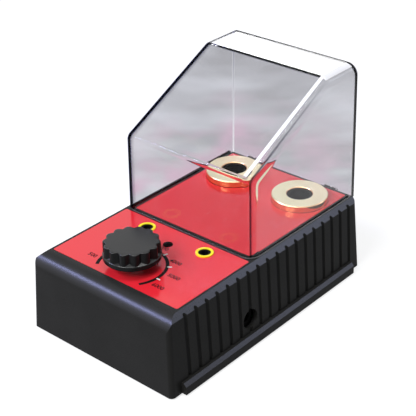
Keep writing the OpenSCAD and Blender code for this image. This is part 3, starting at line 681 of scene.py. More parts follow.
class Shape:
    """One new mesh piece while it is modelled with the operators."""

    # Points closer than this are merged when a mesh is closed
    GAP = 0.005

    def __init__(self, name: str) -> None:
        """Takes over the active object that an operator has just added.

        Args:
            name: name of the piece.
        """
        self.obj = bpy.context.view_layer.objects.active
        self.rename(name)

    def rename(self, name: str) -> None:
        """Names the object and its mesh."""
        self.obj.name = name
        self.obj.data.name = name

    @staticmethod
    def clear() -> None:
        """Leaves edit mode and deselects everything."""
        if bpy.context.mode != "OBJECT":
            bpy.ops.object.mode_set(mode="OBJECT")
        bpy.ops.object.select_all(action="DESELECT")

    @classmethod
    def box(cls, name: str, low: Sequence[float], high: Sequence[float]) -> "Shape":
        """Adds a box.

        Args:
            name: name of the piece.
            low: its lowest corner.
            high: its highest corner.

        Returns:
            The new shape.
        """
        cls.clear()
        middle = [(a + b) / 2 * MM for a, b in zip(low, high)]
        size = [(b - a) * MM for a, b in zip(low, high)]
        bpy.ops.mesh.primitive_cube_add(size=1.0, location=middle, scale=size)
        return cls(name).settled()

    @classmethod
    def rod(
        cls, name: str, radius: float, low: Sequence[float], high: Sequence[float], sides: int
    ) -> "Shape":
        """Adds a cylinder between two points on its axis.

        Args:
            name: name of the piece.
            radius: its radius.
            low: lower end of the axis.
            high: upper end of the axis.
            sides: number of sides.

        Returns:
            The new shape.
        """
        cls.clear()
        start, end = Vector(low) * MM, Vector(high) * MM
        bpy.ops.mesh.primitive_cylinder_add(
            vertices=sides,
            radius=radius * MM,
            depth=(end - start).length,
            location=(start + end) / 2,
            rotation=(end - start).to_track_quat("Z", "Y").to_euler(),
        )
        return cls(name).settled()

    @classmethod
    def ring(cls, name: str, radius: float, centre: Sequence[float], sides: int) -> "Shape":
        """Adds a bare circle of edges.

        Args:
            name: name of the piece.
            radius: its radius.
            centre: its centre.
            sides: number of edges.

        Returns:
            The new shape.
        """
        cls.clear()
        bpy.ops.mesh.primitive_circle_add(vertices=sides, radius=radius * MM, location=Vector(centre) * MM)
        return cls(name).settled()

    def settled(self) -> "Shape":
        """Applies place, turn and size to the mesh.

        Returns:
            This shape.
        """
        self.choose()
        bpy.ops.object.transform_apply(location=True, rotation=True, scale=True)
        return self

    def choose(self) -> None:
        """Makes this the only selected and the active object."""
        self.clear()
        self.obj.select_set(True)
        bpy.context.view_layer.objects.active = self.obj

    @contextmanager
    def edit(self, kind: str) -> Iterator[None]:
        """Edit mode on this piece alone, with nothing selected at first.

        Args:
            kind: what is selected, VERT, EDGE or FACE.
        """
        self.choose()
        bpy.ops.object.mode_set(mode="EDIT")
        bpy.ops.mesh.select_mode(type=kind)
        bpy.ops.mesh.select_all(action="DESELECT")
        yield
        bpy.ops.object.mode_set(mode="OBJECT")

    def pick(self, kind: str, test: Callable[[object], bool]) -> int:
        """Selects parts of the mesh in edit mode.

        Args:
            kind: verts, edges or faces.
            test: tells for one of them if it is selected.

        Returns:
            How many are selected.
        """
        mesh = bmesh.from_edit_mesh(self.obj.data)
        mesh.normal_update()
        items = getattr(mesh, kind)
        for item in items:
            item.select_set(test(item))
        mesh.select_flush_mode()
        bmesh.update_edit_mesh(self.obj.data)
        return sum(item.select for item in items)

    def verts(self, test: Test) -> int:
        """Selects and counts the vertices whose place, in millimetres, passes a test."""
        return self.pick("verts", lambda vert: test(vert.co / MM))

    def edges(self, test: PairTest) -> int:
        """Selects and counts the edges whose two ends, in millimetres, pass a test."""
        return self.pick("edges", lambda edge: test(*(vert.co / MM for vert in edge.verts)))

    def faces(self, test: PairTest) -> int:
        """Selects and counts the faces whose middle, in millimetres, and normal pass a test."""
        return self.pick("faces", lambda face: test(face.calc_center_median() / MM, face.normal))

    @staticmethod
    def bevel(size: float, steps: int, affect: str = "EDGES") -> None:
        """Rounds the selected edges or vertices in edit mode."""
        bpy.ops.mesh.bevel(offset=size * MM, segments=steps, affect=affect, clamp_overlap=False)

    @staticmethod
    def pull(height: float) -> None:
        """Extrudes the selected faces upwards in edit mode."""
        bpy.ops.mesh.extrude_region_move(TRANSFORM_OT_translate={"value": (0.0, 0.0, height * MM)})

    @staticmethod
    def merge(gap: float) -> None:
        """Selects all in edit mode and merges points that are closer than a gap."""
        bpy.ops.mesh.select_all(action="SELECT")
        bpy.ops.mesh.remove_doubles(threshold=gap * MM)

    @staticmethod
    def outward() -> None:
        """Selects all in edit mode and turns the faces outwards."""
        bpy.ops.mesh.select_all(action="SELECT")
        bpy.ops.mesh.normals_make_consistent(inside=False)

    def modify(self, kind: str, **settings: object) -> "Shape":
        """Adds a modifier and applies it.

        Args:
            kind: type of the modifier.
            settings: its attributes.

        Returns:
            This shape.
        """
        self.choose()
        modifier = self.obj.modifiers.new(kind.lower(), kind)
        for key, value in settings.items():
            setattr(modifier, key, value)
        bpy.ops.object.modifier_apply(modifier=modifier.name)
        return self

    def blunt(self, size: float, steps: int) -> "Shape":
        """Breaks all sharp edges with a small bevel and returns the shape."""
        limit = {"limit_method": "ANGLE", "angle_limit": math.radians(SHARP)}
        return self.modify("BEVEL", width=size * MM, segments=steps, **limit)

    def carve(self, tool: "Shape", operation: str) -> "Shape":
        """Joins or cuts with another shape, which is used up.

        Args:
            tool: the other shape.
            operation: UNION or DIFFERENCE.

        Returns:
            This shape.
        """
        self.modify("BOOLEAN", operation=operation, object=tool.obj, solver="MANIFOLD")
        tool.drop()
        return self

    def drop(self) -> None:
        """Removes the piece again."""
        bpy.data.objects.remove(self.obj, do_unlink=True)

    def copy(
        self, name: str, shift: Sequence[float] = ORIGIN, turn: float = 0.0, about: Sequence[float] = ORIGIN
    ) -> "Shape":
        """Copies the piece with its own mesh.

        Args:
            name: name of the copy.
            shift: how far the copy is moved.
            turn: how far it is then turned about an upright axis, against the clock.
            about: a point on that axis.

        Returns:
            The copy.
        """
        self.choose()
        bpy.ops.object.duplicate(linked=False)
        twin = Shape(name)
        bpy.ops.transform.translate(value=Vector(shift) * MM)
        centre = Vector(about) * MM
        bpy.ops.transform.rotate(value=-math.radians(turn), orient_axis="Z", center_override=centre)
        return twin.settled()

    def done(
        self, body: Body, finish: Finish, replaces: Sequence[str] = (), angle: float = 40.0
    ) -> bpy.types.Object:
        """Smooths the piece, coats it and lets it ride on its body.

        Args:
            body: body that carries the piece.
            finish: finish of the piece.
            replaces: CAD nodes that the piece stands for.
            angle: edges sharper than this stay sharp.

        Returns:
            The finished object.
        """
        self.settled()
        bpy.ops.object.shade_smooth_by_angle(angle=math.radians(angle))
        self.modify("WEIGHTED_NORMAL", mode="FACE_AREA", weight=100, keep_sharp=True)
        self.obj.data.materials.clear()
        self.obj.data.materials.append(Finishes.made(finish))
        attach(self.obj, body.value)
        if replaces:
            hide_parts(*replaces)
        log.info("built %s: %d faces", self.obj.name, len(self.obj.data.polygons))
        return self.obj

    def mark(self, name: str, domain: str, value: Measure) -> "Shape":
        """Writes a number for each vertex or each face into the mesh.

        Args:
            name: name of the attribute.
            domain: POINT for vertices or FACE for faces.
            value: gives the number for a place, in millimetres, and the normal there.

        Returns:
            This shape.
        """
        mesh = self.obj.data
        if domain == "POINT":
            spots = [(vert.co, vert.normal) for vert in mesh.vertices]
        else:
            spots = [(face.center, face.normal) for face in mesh.polygons]
        numbers = [value(place / MM, normal) for place, normal in spots]
        mesh.attributes.new(name, "FLOAT", domain).data.foreach_set("value", numbers)
        return self

    def tidy(self) -> "Shape":
        """Merges doubles and turns all faces outwards.

        Returns:
            This shape.
        """
        with self.edit("FACE"):
            self.merge(self.GAP)
            bpy.ops.mesh.dissolve_degenerate(threshold=self.GAP * MM)
            self.outward()
        return self


@dataclass
class ClearHood:
    """Clear hood: one moulded shell with leaning walls, rounded edges and two hinge tongues."""

    # Taken from the frame
    half: float = field(init=False)
    front: float = field(init=False)
    back: float = field(init=False)
    low: float = field(init=False)
    bend: float = field(init=False)
    top: float = field(init=False)
    crease: float = field(init=False)
    deck: float = field(init=False)
    hinge: Spot = field(init=False)
    # Shell
    sink: float = 1.7
    bend_h: float = 42.5
    top_l: float = 23.9
    lean: float = 0.8
    wall: float = 1.8
    side_band: float = 3.0
    edge_r: float = 6.0
    left_r: float = 3.0
    edge_steps: int = 10
    left_band: float = 2.2
    rear_r: float = 1.0
    rear_steps: int = 4
    rear_band: float = 2.4
    bend_r: float = 3.0
    bend_steps: int = 6
    mitre_gap: float = 0.25
    mitre_reach: float = 9.0
    foot_r: float = 0.3
    foot_steps: int = 2
    smooth: float = 25.0
    # Hinge tongues
    notch_half: float = 3.7
    tongue_r: float = 1.9
    tongue_t: float = 2.2
    stem_inset: float = 0.05
    bore_r: float = 0.95
    bore_sides: int = 32
    # Limits of the painted edge shade and the painted highlight, on places and on parts of a normal
    hair: float = 0.1
    tilted: float = 0.3
    straight: float = 0.05
    inner_band: float = 2.16
    dark_from: float = 0.02
    dark_to: float = 0.97
    dark_start: float = 0.5
    dark_gain: float = 1.7
    dark_rise: float = 12.0
    line_half: float = 0.06
    crease_from: float = 0.12
    crease_to: float = 0.26
    highlight_from: float = 0.02
    highlight_to: float = 0.3
    highlight_top: float = 0.62

    def __post_init__(self) -> None:
        """Takes the outline from the hood, the deck and the right hinge pin of the frame."""
        low, high = box_of("hood")
        pin_low, pin_high = box_of("hinge_pin_right")
        self.hinge = middle_of("hinge_pin_right")
        self.deck = box_of("test_panel")[1].z
        self.half, self.front, self.top = high.x, low.y, high.z
        self.back = self.hinge.y + (pin_high.z - pin_low.z) / 2
        self.low = self.deck - self.sink
        self.bend = self.deck + self.bend_h
        self.crease = self.back - self.top_l

    def inward(self, z: float) -> float:
        """How far a leaning wall stands in at a height."""
        return (z - self.low) * math.tan(math.radians(self.lean))

    def blank(self) -> Shape:
        """Box cut along the slanted window, with its side and front walls leaning in.

        Returns:
            The new shape.
        """
        shape = Shape.box("clear_hood", (-self.half, self.front, self.low), (self.half, self.back, self.top))
        slope = Vector((0.0, -(self.top - self.bend), self.crease - self.front)).normalized()
        spot = Vector((0.0, self.front, self.bend)) * MM
        with shape.edit("VERT"):
            bpy.ops.mesh.select_all(action="SELECT")
            bpy.ops.mesh.bisect(plane_co=spot, plane_no=slope, use_fill=True, clear_outer=True)
            for level in (self.bend, self.top):
                shape.verts(lambda p: abs(p.z - level) < NEAR)
                factor = 1 - self.inward(level) / self.half
                bpy.ops.transform.resize(value=(factor, 1.0, 1.0), center_override=ORIGIN)
            shape.verts(lambda p: abs(p.z - self.bend) < NEAR)
            bpy.ops.transform.translate(value=(0.0, self.inward(self.bend) * MM, 0.0))
        return shape

    def mitre(self, corner: Pair, one: Vector, two: Vector) -> PairTest:
        """Test for edges that lie in the mitre plane of a bend.

        Args:
            corner: y and z of the bend.
            one: direction of the wall before the bend.
            two: direction of the wall after it.

        Returns:
            Test on the two ends of an edge.
        """
        inside = (one.normalized() + two.normalized()).normalized()
        across = Vector((0.0, -inside.z, inside.y))
        foot = Vector((0.0, *corner))

        def in_plane(p: Vector) -> bool:
            """Places in the plane and close to the bend."""
            off, deep = abs((p - foot).dot(across)), abs((p - foot).dot(inside))
            return off < self.mitre_gap and deep < self.mitre_reach

        return lambda a, b: in_plane(a) and in_plane(b)

    def rounded(self, shape: Shape) -> Shape:
        """Rounds the side edges and then the two bends, and adds loops of edges where painted shades fade
        out.

        Args:
            shape: the leaning blank.

        Returns:
            The same shape, rounded.
        """
        front_bend = self.front + self.inward(self.bend)
        down = Vector((0.0, self.front - front_bend, self.low - self.bend))
        rise = Vector((0.0, self.crease - front_bend, self.top - self.bend))
        flat = Vector((0.0, 1.0, 0.0))
        fade = self.inward(self.top) + self.left_r + self.left_band - self.half
        bends = (((front_bend, self.bend), down, rise), ((self.crease, self.top), -rise, flat))
        loops = (
            ((0.0, self.back - self.rear_band, 0.0), (0.0, 1.0, 0.0)),
            ((fade, 0.0, 0.0), (1.0, 0.0, 0.0)),
        )

        def beside(a: Vector, b: Vector) -> bool:
            """Edges along the front, the window and the top."""
            same = a.x * b.x > 0 and min(abs(a.x), abs(b.x)) > self.half - self.side_band
            return same and max(a.z, b.z) > self.low + NEAR and min(a.y, b.y) < self.back - NEAR

        with shape.edit("EDGE"):
            for side, radius in ((Side.RIGHT, self.edge_r), (Side.LEFT, self.left_r)):
                shape.edges(lambda a, b: beside(a, b) and a.x * side.value > 0)
                shape.bevel(radius, self.edge_steps)
            for corner, one, two in bends:
                shape.edges(self.mitre(corner, one, two))
                shape.bevel(self.bend_r * math.tan((math.pi - one.angle(two)) / 2), self.bend_steps)
            for spot, facing in loops:
                bpy.ops.mesh.select_all(action="SELECT")
                bpy.ops.mesh.bisect(plane_co=Vector(spot) * MM, plane_no=facing)
        return shape

    def behind(self, a: Vector, b: Vector) -> bool:
        """Test for the outer edges around the rear wall, without the lower one."""
        return min(a.y, b.y) > self.back - NEAR and max(a.z, b.z) > self.low + NEAR

    def tongue(self, side: Side) -> Shape:
        """Hinge tongue with its pin bore, at the foot of the rear wall.

        Args:
            side: side of the hinge.

        Returns:
            The new shape.
        """
        middle = side.value * self.hinge.x
        low, high = middle - self.tongue_t / 2, middle + self.tongue_t / 2
        axis = (self.hinge.y, self.hinge.z)
        made = Shape.rod("tongue", self.tongue_r, (low, *axis), (high, *axis), self.bore_sides)
        stem = Shape.box(
            "stem",
            (low, self.back - self.wall + self.stem_inset, self.hinge.z),
            (high, self.back - self.stem_inset, self.deck + self.wall / 2),
        )
        made.carve(stem, "UNION")
        ends = ((low - OVER, *axis), (high + OVER, *axis))
        return made.carve(Shape.rod("bore", self.bore_r, *ends, self.bore_sides), "DIFFERENCE")

    def painted_edge_shade(self, p: Vector, n: Vector) -> float:
        """Share of the painted dark edge shade at a vertex.

        The left and rear right edges are painted dark all round, the right front edge and the upper bend in
        a thin painted dark line.

        Args:
            p: place of the vertex.
            n: its normal.

        Returns:
            1 on a painted dark edge, otherwise less, down to 0.
        """
        across = abs(n.x)
        at_foot = p.z < self.deck + self.wall
        at_top = p.z > self.top - self.edge_r
        if at_foot and (p.y > self.back - 2 * self.wall or abs(n.z) > self.tilted):
            return 0.0
        if p.y > self.back - self.rear_r - self.hair:
            return float(p.y < self.back - self.hair and (p.x > 0 or at_top))
        if p.y > self.back - self.inner_band:
            return 0.0
        if p.x < 0 and self.dark_from < across < self.dark_to:
            return min(1.0, self.dark_start + self.dark_gain * across)
        if abs(across - math.sqrt(0.5)) < self.line_half and p.z < self.bend + self.dark_rise:
            return 1.0
        on_crease = at_top and across < self.straight and p.y < self.crease + self.edge_r
        return float(on_crease and self.crease_from < abs(n.y) < self.crease_to)

    def is_painted_highlight(self, p: Vector, n: Vector) -> bool:
        """Test for the outer faces of the right edge that get the painted highlight, along the window and the
        top.

        Args:
            p: middle of the face.
            n: its normal.

        Returns:
            True on a face with the painted highlight.
        """
        most = self.highlight_top if p.z > self.top - self.bend_r else self.highlight_to
        along = p.z > self.bend + self.bend_r and n.z > self.tilted and p.y < self.back - 2 * self.rear_r
        return p.x > 0 and along and self.highlight_from < n.x < most

    def painted_wall_shade(self, p: Vector, n: Vector) -> float:
        """Share of the painted grey shade at a face: the rear and left walls hold it, and it fades over their
        edges.

        Args:
            p: middle of the face.
            n: its normal.

        Returns:
            From 0 to 1.
        """
        if p.y > self.back - 2 * self.wall:
            return abs(n.y)
        return abs(n.x) if p.x < self.edge_r - self.half else 0.0

    def build(self) -> None:
        """Models the hood and puts it in place of its CAD node."""
        shape = self.rounded(self.blank())
        with shape.edit("FACE"):
            shape.faces(lambda p, n: n.z < -FACING)
            bpy.ops.mesh.delete(type="FACE")
        even = {"use_even_offset": True, "use_quality_normals": True}
        shape.tidy().modify("SOLIDIFY", thickness=self.wall * MM, offset=-1.0, **even)
        with shape.edit("EDGE"):
            shape.edges(self.behind)
            shape.bevel(self.rear_r, self.rear_steps)
        shape.blunt(self.foot_r, self.foot_steps)
        for side in Side:
            middle = side.value * self.hinge.x
            notch = Shape.box(
                "notch",
                (middle - self.notch_half, self.back - 2 * self.wall, self.low - 2 * OVER),
                (middle + self.notch_half, self.back + self.wall, self.deck),
            )
            shape.carve(notch, "DIFFERENCE")
            shape.carve(self.tongue(side), "UNION")
        # Painted dark edge shade on the vertices and painted grey wall shade on the faces
        shape.tidy().mark(PAINTED_EDGE_SHADE, "POINT", self.painted_edge_shade).mark(PAINTED_WALL_SHADE, "FACE", self.painted_wall_shade)
        hood = shape.done(Body.HOOD, Finishes.HOOD_CLEAR, ("hood",), self.smooth)
        # The right edge's faces get an opaque white second material: a painted highlight
        hood.data.materials.append(Finishes.made(Finishes.EDGE_LIGHT))
        with shape.edit("FACE"):
            log.info("lit edge: %d faces", shape.faces(self.is_painted_highlight))
            hood.active_material_index = 1
            bpy.ops.object.material_slot_assign()


@dataclass
class SpeedKnob:
    """Lobed knob with a round skirt and a softly rounded top edge."""

    x: float = field(init=False)
    y: float = field(init=False)
    low: float = field(init=False)
    high: float = field(init=False)
    skirt_r: float = field(init=False)
    bore_r: float = field(init=False)
    bore_top: float = field(init=False)
    lobes: int = 14
    steps: int = 12
    lip: float = 0.2
    lobe_h: float = 1.65
    lobe_power: float = 0.62
    draft: float = 0.985
    top_r: float = 0.75
    top_steps: int = 4
    skirt_h: float = 2.4
    skirt_rise: float = 1.3
    skirt_in: float = 2.5
    skirt_sides: int = 112
    rim_r: float = 0.35
    rim_steps: int = 3
    recess_r: float = 6.0
    recess_h: float = 2.4
    recess_sides: int = 48
    bore_sides: int = 32
    smooth: float = 32.0

    def __post_init__(self) -> None:
        """Takes place, height and radii from the knob and the shaft of the frame."""
        low, high = box_of("speed_knob")
        shaft_low, shaft_high = box_of("control_shaft")
        self.x, self.y, _ = middle_of("speed_knob")
        self.low, self.high = low.z, high.z
        self.skirt_r = (high.x - low.x) / 2
        self.bore_r = (shaft_high.x - shaft_low.x) / 2
        self.bore_top = shaft_high.z

    @property
    def crest(self) -> float:
        """Radius of the lobes' crests."""
        return self.skirt_r - self.lip

    @property
    def middle(self) -> Vector:
        """Point on the knob's axis, in metres."""
        return Vector((self.x, self.y, 0.0)) * MM

    def post(self, name: str, radius: float, low: float, high: float, sides: int) -> Shape:
        """Cylinder on the knob's axis between two heights."""
        return Shape.rod(name, radius, (self.x, self.y, low), (self.x, self.y, high), sides)

    def rings(self) -> list[Pair]:
        """Height and crest radius of each ring of the grip, for a drafted wall and a round top edge.

        Returns:
            Rings from the lowest to the highest.
        """
        wall = self.crest * self.draft
        turns = [math.pi / 2 * step / self.top_steps for step in range(self.top_steps + 1)]
        heights = [self.high - self.top_r * (1 - math.sin(turn)) for turn in turns]
        return [(z, wall - self.top_r * (1 - math.cos(turn))) for z, turn in zip(heights, turns)]

    def wave(self, step: int) -> float:
        """Radius at a step of one lobe, over the crest's radius."""
        swell = (0.5 + 0.5 * math.cos(math.tau * step / self.steps)) ** self.lobe_power
        return (self.crest - self.lobe_h * (1 - swell)) / self.crest

    def step_of(self, p: Vector) -> int:
        """Step of its lobe at which a vertex lies, counted from the circle's first vertex at the rear."""
        turn = (math.atan2(p.y - self.y, p.x - self.x) - math.pi / 2) % math.tau
        return round(turn / math.tau * self.lobes * self.steps) % self.steps

    def grip(self) -> Shape:
        """Lobed body from the skirt to the rounded top.

        Returns:
            The new shape.
        """
        foot = self.low + self.skirt_h / 2
        shape = Shape.ring("grip", self.crest, (self.x, self.y, foot), self.lobes * self.steps)
        with shape.edit("VERT"):
            for step in range(1, self.steps):
                shape.verts(lambda p: self.step_of(p) == step)
                factor = self.wave(step)
                bpy.ops.transform.resize(value=(factor, factor, 1.0), center_override=self.middle)
        with shape.edit("EDGE"):
            bpy.ops.mesh.select_all(action="SELECT")
            level, radius = foot, self.crest
            for height, ring_r in self.rings():
                rise = (0.0, 0.0, (height - level) * MM)
                factor = ring_r / radius
                bpy.ops.mesh.extrude_edges_move(TRANSFORM_OT_translate={"value": rise})
                bpy.ops.transform.resize(value=(factor, factor, 1.0), center_override=self.middle)
                level, radius = height, ring_r
            bpy.ops.mesh.fill()
        with shape.edit("EDGE"):
            shape.edges(lambda a, b: max(a.z, b.z) < foot + NEAR)
            bpy.ops.mesh.fill()
        return shape.tidy()

    def skirt(self) -> Shape:
        """Round skirt that narrows towards the grip.

        Returns:
            The new shape.
        """
        rim = self.low + self.skirt_h
        shape = self.post("skirt", self.skirt_r, self.low, rim, self.skirt_sides)

        def on_rim(a: Vector, b: Vector) -> bool:
            """Level edges around the skirt, at its foot and at its rim."""
            off_axis = math.hypot(a.x - self.x, a.y - self.y)
            return abs(a.z - b.z) < NEAR and a.z < rim + NEAR and off_axis > self.skirt_r - self.lip

        with shape.edit("FACE"):
            shape.faces(lambda p, n: n.z > FACING)
            factor = 1 - self.skirt_in / self.skirt_r
            shape.pull(self.skirt_rise)
            bpy.ops.transform.resize(value=(factor, factor, 1.0), center_override=self.middle)
        with shape.edit("EDGE"):
            shape.edges(on_rim)
            shape.bevel(self.rim_r, self.rim_steps)
        return shape.tidy()

    def build(self) -> None:
        """Models the knob and puts it in place of its CAD node."""
        shape = self.grip().carve(self.skirt(), "UNION")
        for name, radius, top, sides in (
            ("hollow", self.recess_r, self.low + self.recess_h, self.recess_sides),
            ("bore", self.bore_r, self.bore_top, self.bore_sides),
        ):
            shape.carve(self.post(name, radius, self.low - OVER, top, sides), "DIFFERENCE")
        shape.rename("speed_knob_grip")
        shape.done(Body.KNOB, Finishes.KNOB_BLACK, ("speed_knob",), self.smooth)
        coat(Finishes.STEEL, "control_shaft")


@dataclass
class DialPrint:
    """Arc, marks and speed numbers printed around the knob."""

    axis: Spot = field(init=False)
    deck: float = field(init=False)
    film: float = 0.04
    join: float = 0.0001
    off_centre: Pair = (-0.4, -0.25)
    arc_r: float = 17.15
    arc_w: float = 1.75
    arc_from: float = -35.0
    arc_to: float = 214.5
    arc_steps: int = 96
    mark_from: float = -3.0
    mark_step: float = 37.0
    mark_count: int = 6
    mark_l: float = 2.3
    mark_w: float = 0.75
    mark_r: float = 18.35
    mark_round: float = 0.16
    mark_steps: int = 3
    digit_h: float = 2.5
    digit_share: float = 0.7
    digit_bold: float = 0.05
    digit_steps: int = 4
    digit_join: float = 0.002
    digit_turn: float = 0.5
    numbers: dict[str, Pair] = field(
        default_factory=lambda: {
            "500": (-22.2, -5.5),
            "1000": (-22.6, 5.4),
            "2000": (-14.6, 15.2),
            "3000": (0.0, 21.0),
            "4000": (14.2, 14.9),
            "5000": (22.3, 4.7),
            "6000": (22.0, -6.0),
        }
    )

    def __post_init__(self) -> None:
        """Takes the knob's axis and the panel's height from the frame."""
        self.axis = middle_of("speed_knob")
        self.deck = box_of("front_panel")[1].z

    def spot(self, across: float, along: float, films: int) -> Vector:
        """Place on the panel in metres, measured from the knob's axis and raised by some films of print."""
        return Vector((self.axis.x + across, self.axis.y + along, self.deck + films * self.film)) * MM

    def pressed(self, shape: Shape) -> Shape:
        """Gives a flat print its film thickness.

        Args:
            shape: the flat print, at the top of its film.

        Returns:
            The same shape.
        """
        with shape.edit("FACE"):
            shape.merge(self.join)
            shape.outward()
            shape.pull(-self.film)
            shape.outward()
        return shape

    def arc(self) -> None:
        """Spins one short line of print around the dial's middle."""
        Shape.clear()
        bpy.ops.mesh.primitive_plane_add(size=1.0)
        shape = Shape("dial_arc")
        middle = self.spot(*self.off_centre, 1)
        around = {"center": middle, "axis": (0.0, 0.0, -1.0)}
        with shape.edit("VERT"):
            bpy.ops.mesh.select_all(action="SELECT")
            bpy.ops.transform.resize(value=(self.arc_w * MM, 0.0, 0.0), center_override=ORIGIN)
            shape.merge(self.join)
            bpy.ops.transform.translate(value=middle + Vector((self.arc_r * MM, 0.0, 0.0)))
            bpy.ops.mesh.spin(steps=1, angle=math.radians(self.arc_from), **around)
            bpy.ops.mesh.select_all(action="INVERT")
            bpy.ops.mesh.delete(type="VERT")
            bpy.ops.mesh.select_all(action="SELECT")
            sweep = math.radians(self.arc_to - self.arc_from)
            bpy.ops.mesh.spin(steps=self.arc_steps, angle=sweep, **around)
        self.pressed(shape).done(Body.CASE, Finishes.PRINT_BLACK)

    def marks(self) -> None:
        """White marks across the outer edge of the arc: one is modelled, the rest are turned copies of it."""
        across, along = self.off_centre
        Shape.clear()
        bpy.ops.mesh.primitive_plane_add(size=1.0, location=self.spot(across + self.mark_r, along, 2))
        bpy.context.object.scale = (self.mark_l * MM, self.mark_w * MM, 1.0)
        blank = Shape("mark_blank").settled()
        with blank.edit("VERT"):
            bpy.ops.mesh.select_all(action="SELECT")
            blank.bevel(self.mark_round, self.mark_steps, "VERTICES")
        self.pressed(blank)
        middle = self.spot(across, along, 0) / MM
        for index in range(self.mark_count):
            turn = self.mark_from + index * self.mark_step
            twin = blank.copy("dial_mark_%d" % (index + 1), turn=turn, about=middle)
            twin.done(Body.CASE, Finishes.PRINT_WHITE)
        blank.drop()

    def lettering(self) -> None:
        """Speed numbers, upright along the front edge of the panel."""
        for number, (across, along) in self.numbers.items():
            Shape.clear()
            bpy.ops.object.text_add(location=ORIGIN)
            text = bpy.context.object.data
            text.body = number
            text.align_x = text.align_y = "CENTER"
            text.size = self.digit_h * MM / self.digit_share
            text.offset = self.digit_bold * MM
            text.resolution_u = self.digit_steps
            bpy.ops.object.convert(target="MESH")
            shape = Shape("dial_number_" + number)
            with shape.edit("FACE"):
                shape.merge(self.digit_join)
                bpy.ops.mesh.dissolve_limited(angle_limit=math.radians(self.digit_turn))
            shape.obj.location = self.spot(across, along, 1)
            self.pressed(shape.settled()).done(Body.CASE, Finishes.PRINT_BLACK)

    def build(self) -> None:
        """Prints the dial."""
        for step in (self.arc, self.marks, self.lettering):
            step()


@dataclass
class CaseWork:
    """Case, base, panels, feet and screws."""

    screws: list[Pair] = field(init=False)
    head_low: float = field(init=False)
    length: float = field(init=False)
    kerb_half: float = field(init=False)
    kerb_front: float = field(init=False)
    kerb_low: float = field(init=False)
    kerb_top: float = field(init=False)
    screw_gaps: Pair = (38.0, 65.5)
    head_r: float = 2.8
    head_h: float = 1.6
    head_sides: int = 40
    head_round: float = 0.5
    head_steps: int = 4
    thread_r: float = 1.4
    tip_share: float = 0.75
    slot_l: float = 1.6
    slot_w: float = 0.35
    slot_h: float = 0.95
    kerb_out: float = 0.95
    kerb_back: float = 71.1
    kerb_wide: float = 0.65
    kerb_r: float = 6.55
    kerb_steps: int = 16
    kerb_skin: float = 0.04
    skin_r: float = 0.18
    skin_steps: int = 3

    def __post_init__(self) -> None:
        """Takes the screws' places and the kerb's outline from the frame."""
        low, high = box_of("base_screws")
        x, y, _ = middle_of("base_screws")
        across, along = self.screw_gaps
        self.screws = [(x + a, y + b) for b in (-along, along) for a in (-across, across)]
        self.head_low, self.length = low.z, high.z - low.z
        hood_low, hood_high = box_of("hood")
        self.kerb_half = hood_high.x + self.kerb_out
        self.kerb_front = hood_low.y - self.kerb_out
        self.kerb_low = box_of("test_panel")[1].z
        self.kerb_top = box_of("upper_case")[1].z

    def bent_block(self, name: str, inset: float, low: float, high: float) -> Shape:
        """Block with two rounded front corners, in the outline of the kerb.

        Args:
            name: name of the piece.
            inset: how far its sides stand in from the kerb's outer side.
            low: height of its underside.
            high: height of its top.

        Returns:
            The new shape.
        """
        half, front = self.kerb_half - inset, self.kerb_front + inset
        shape = Shape.box(name, (-half, front, low), (half, self.kerb_back + max(inset, 0.0), high))
        with shape.edit("EDGE"):
            shape.edges(lambda a, b: abs(a.z - b.z) > NEAR and max(a.y, b.y) < front + NEAR)
            shape.bevel(self.kerb_r - inset, self.kerb_steps)
        return shape

    def kerb(self) -> None:
        """Bright, softly rounded skin over the kerb around the foot of the hood."""
        skin = self.kerb_skin
        shape = self.bent_block("kerb_skin", -skin, self.kerb_low, self.kerb_top + skin)
        inner = self.bent_block("inner", self.kerb_wide + skin, self.kerb_low - OVER, self.kerb_top + OVER)
        shape.carve(inner, "DIFFERENCE").tidy().blunt(self.skin_r, self.skin_steps)
        shape.done(Body.CASE, Finishes.KERB_BLACK)

    def screw(self) -> Shape:
        """Pan-head screw with a cross recess, head down, at the first place.

        Returns:
            The new shape.
        """
        x, y = self.screws[0]
        low, neck = self.head_low, self.head_low + self.head_h
        shape = Shape.rod("base_screw_1", self.head_r, (x, y, low), (x, y, neck), self.head_sides)
        with shape.edit("EDGE"):
            shape.edges(lambda a, b: max(a.z, b.z) < low + NEAR)
            shape.bevel(self.head_round, self.head_steps)
        with shape.edit("FACE"):
            shape.faces(lambda p, n: n.z > FACING)
            bpy.ops.mesh.inset(thickness=(self.head_r - self.thread_r) * MM)
            shape.pull(self.length - self.head_h)
            taper = (self.tip_share, self.tip_share, 1.0)
            bpy.ops.transform.resize(value=taper, center_override=Vector((x, y, neck)) * MM)
        for wide, deep in ((self.slot_l, self.slot_w), (self.slot_w, self.slot_l)):
            corners = ((x - wide, y - deep, low - OVER), (x + wide, y + deep, low + self.slot_h))
            shape.carve(Shape.box("slot", *corners), "DIFFERENCE")
        return shape.tidy()

    def build(self) -> None:
        """Models the screws and the kerb's skin, and coats the case's own nodes."""
        self.kerb()
        first = self.screw()
        start = Vector((*self.screws[0], 0.0))
        twins = [
            first.copy("base_screw_%d" % index, Vector((*place, 0.0)) - start)
            for index, place in enumerate(self.screws[1:], start=2)
        ]
        first.done(Body.CASE, Finishes.STEEL, ("base_screws",))
        for twin in twins:
            twin.done(Body.CASE, Finishes.STEEL)
        coat(Finishes.CASE_BLACK, "upper_case")
        coat(Finishes.BASE_BLACK, "base_plate")
        coat(Finishes.RUBBER, "rubber_feet")
        coat(Finishes.PANEL_RED, "front_panel", "test_panel")


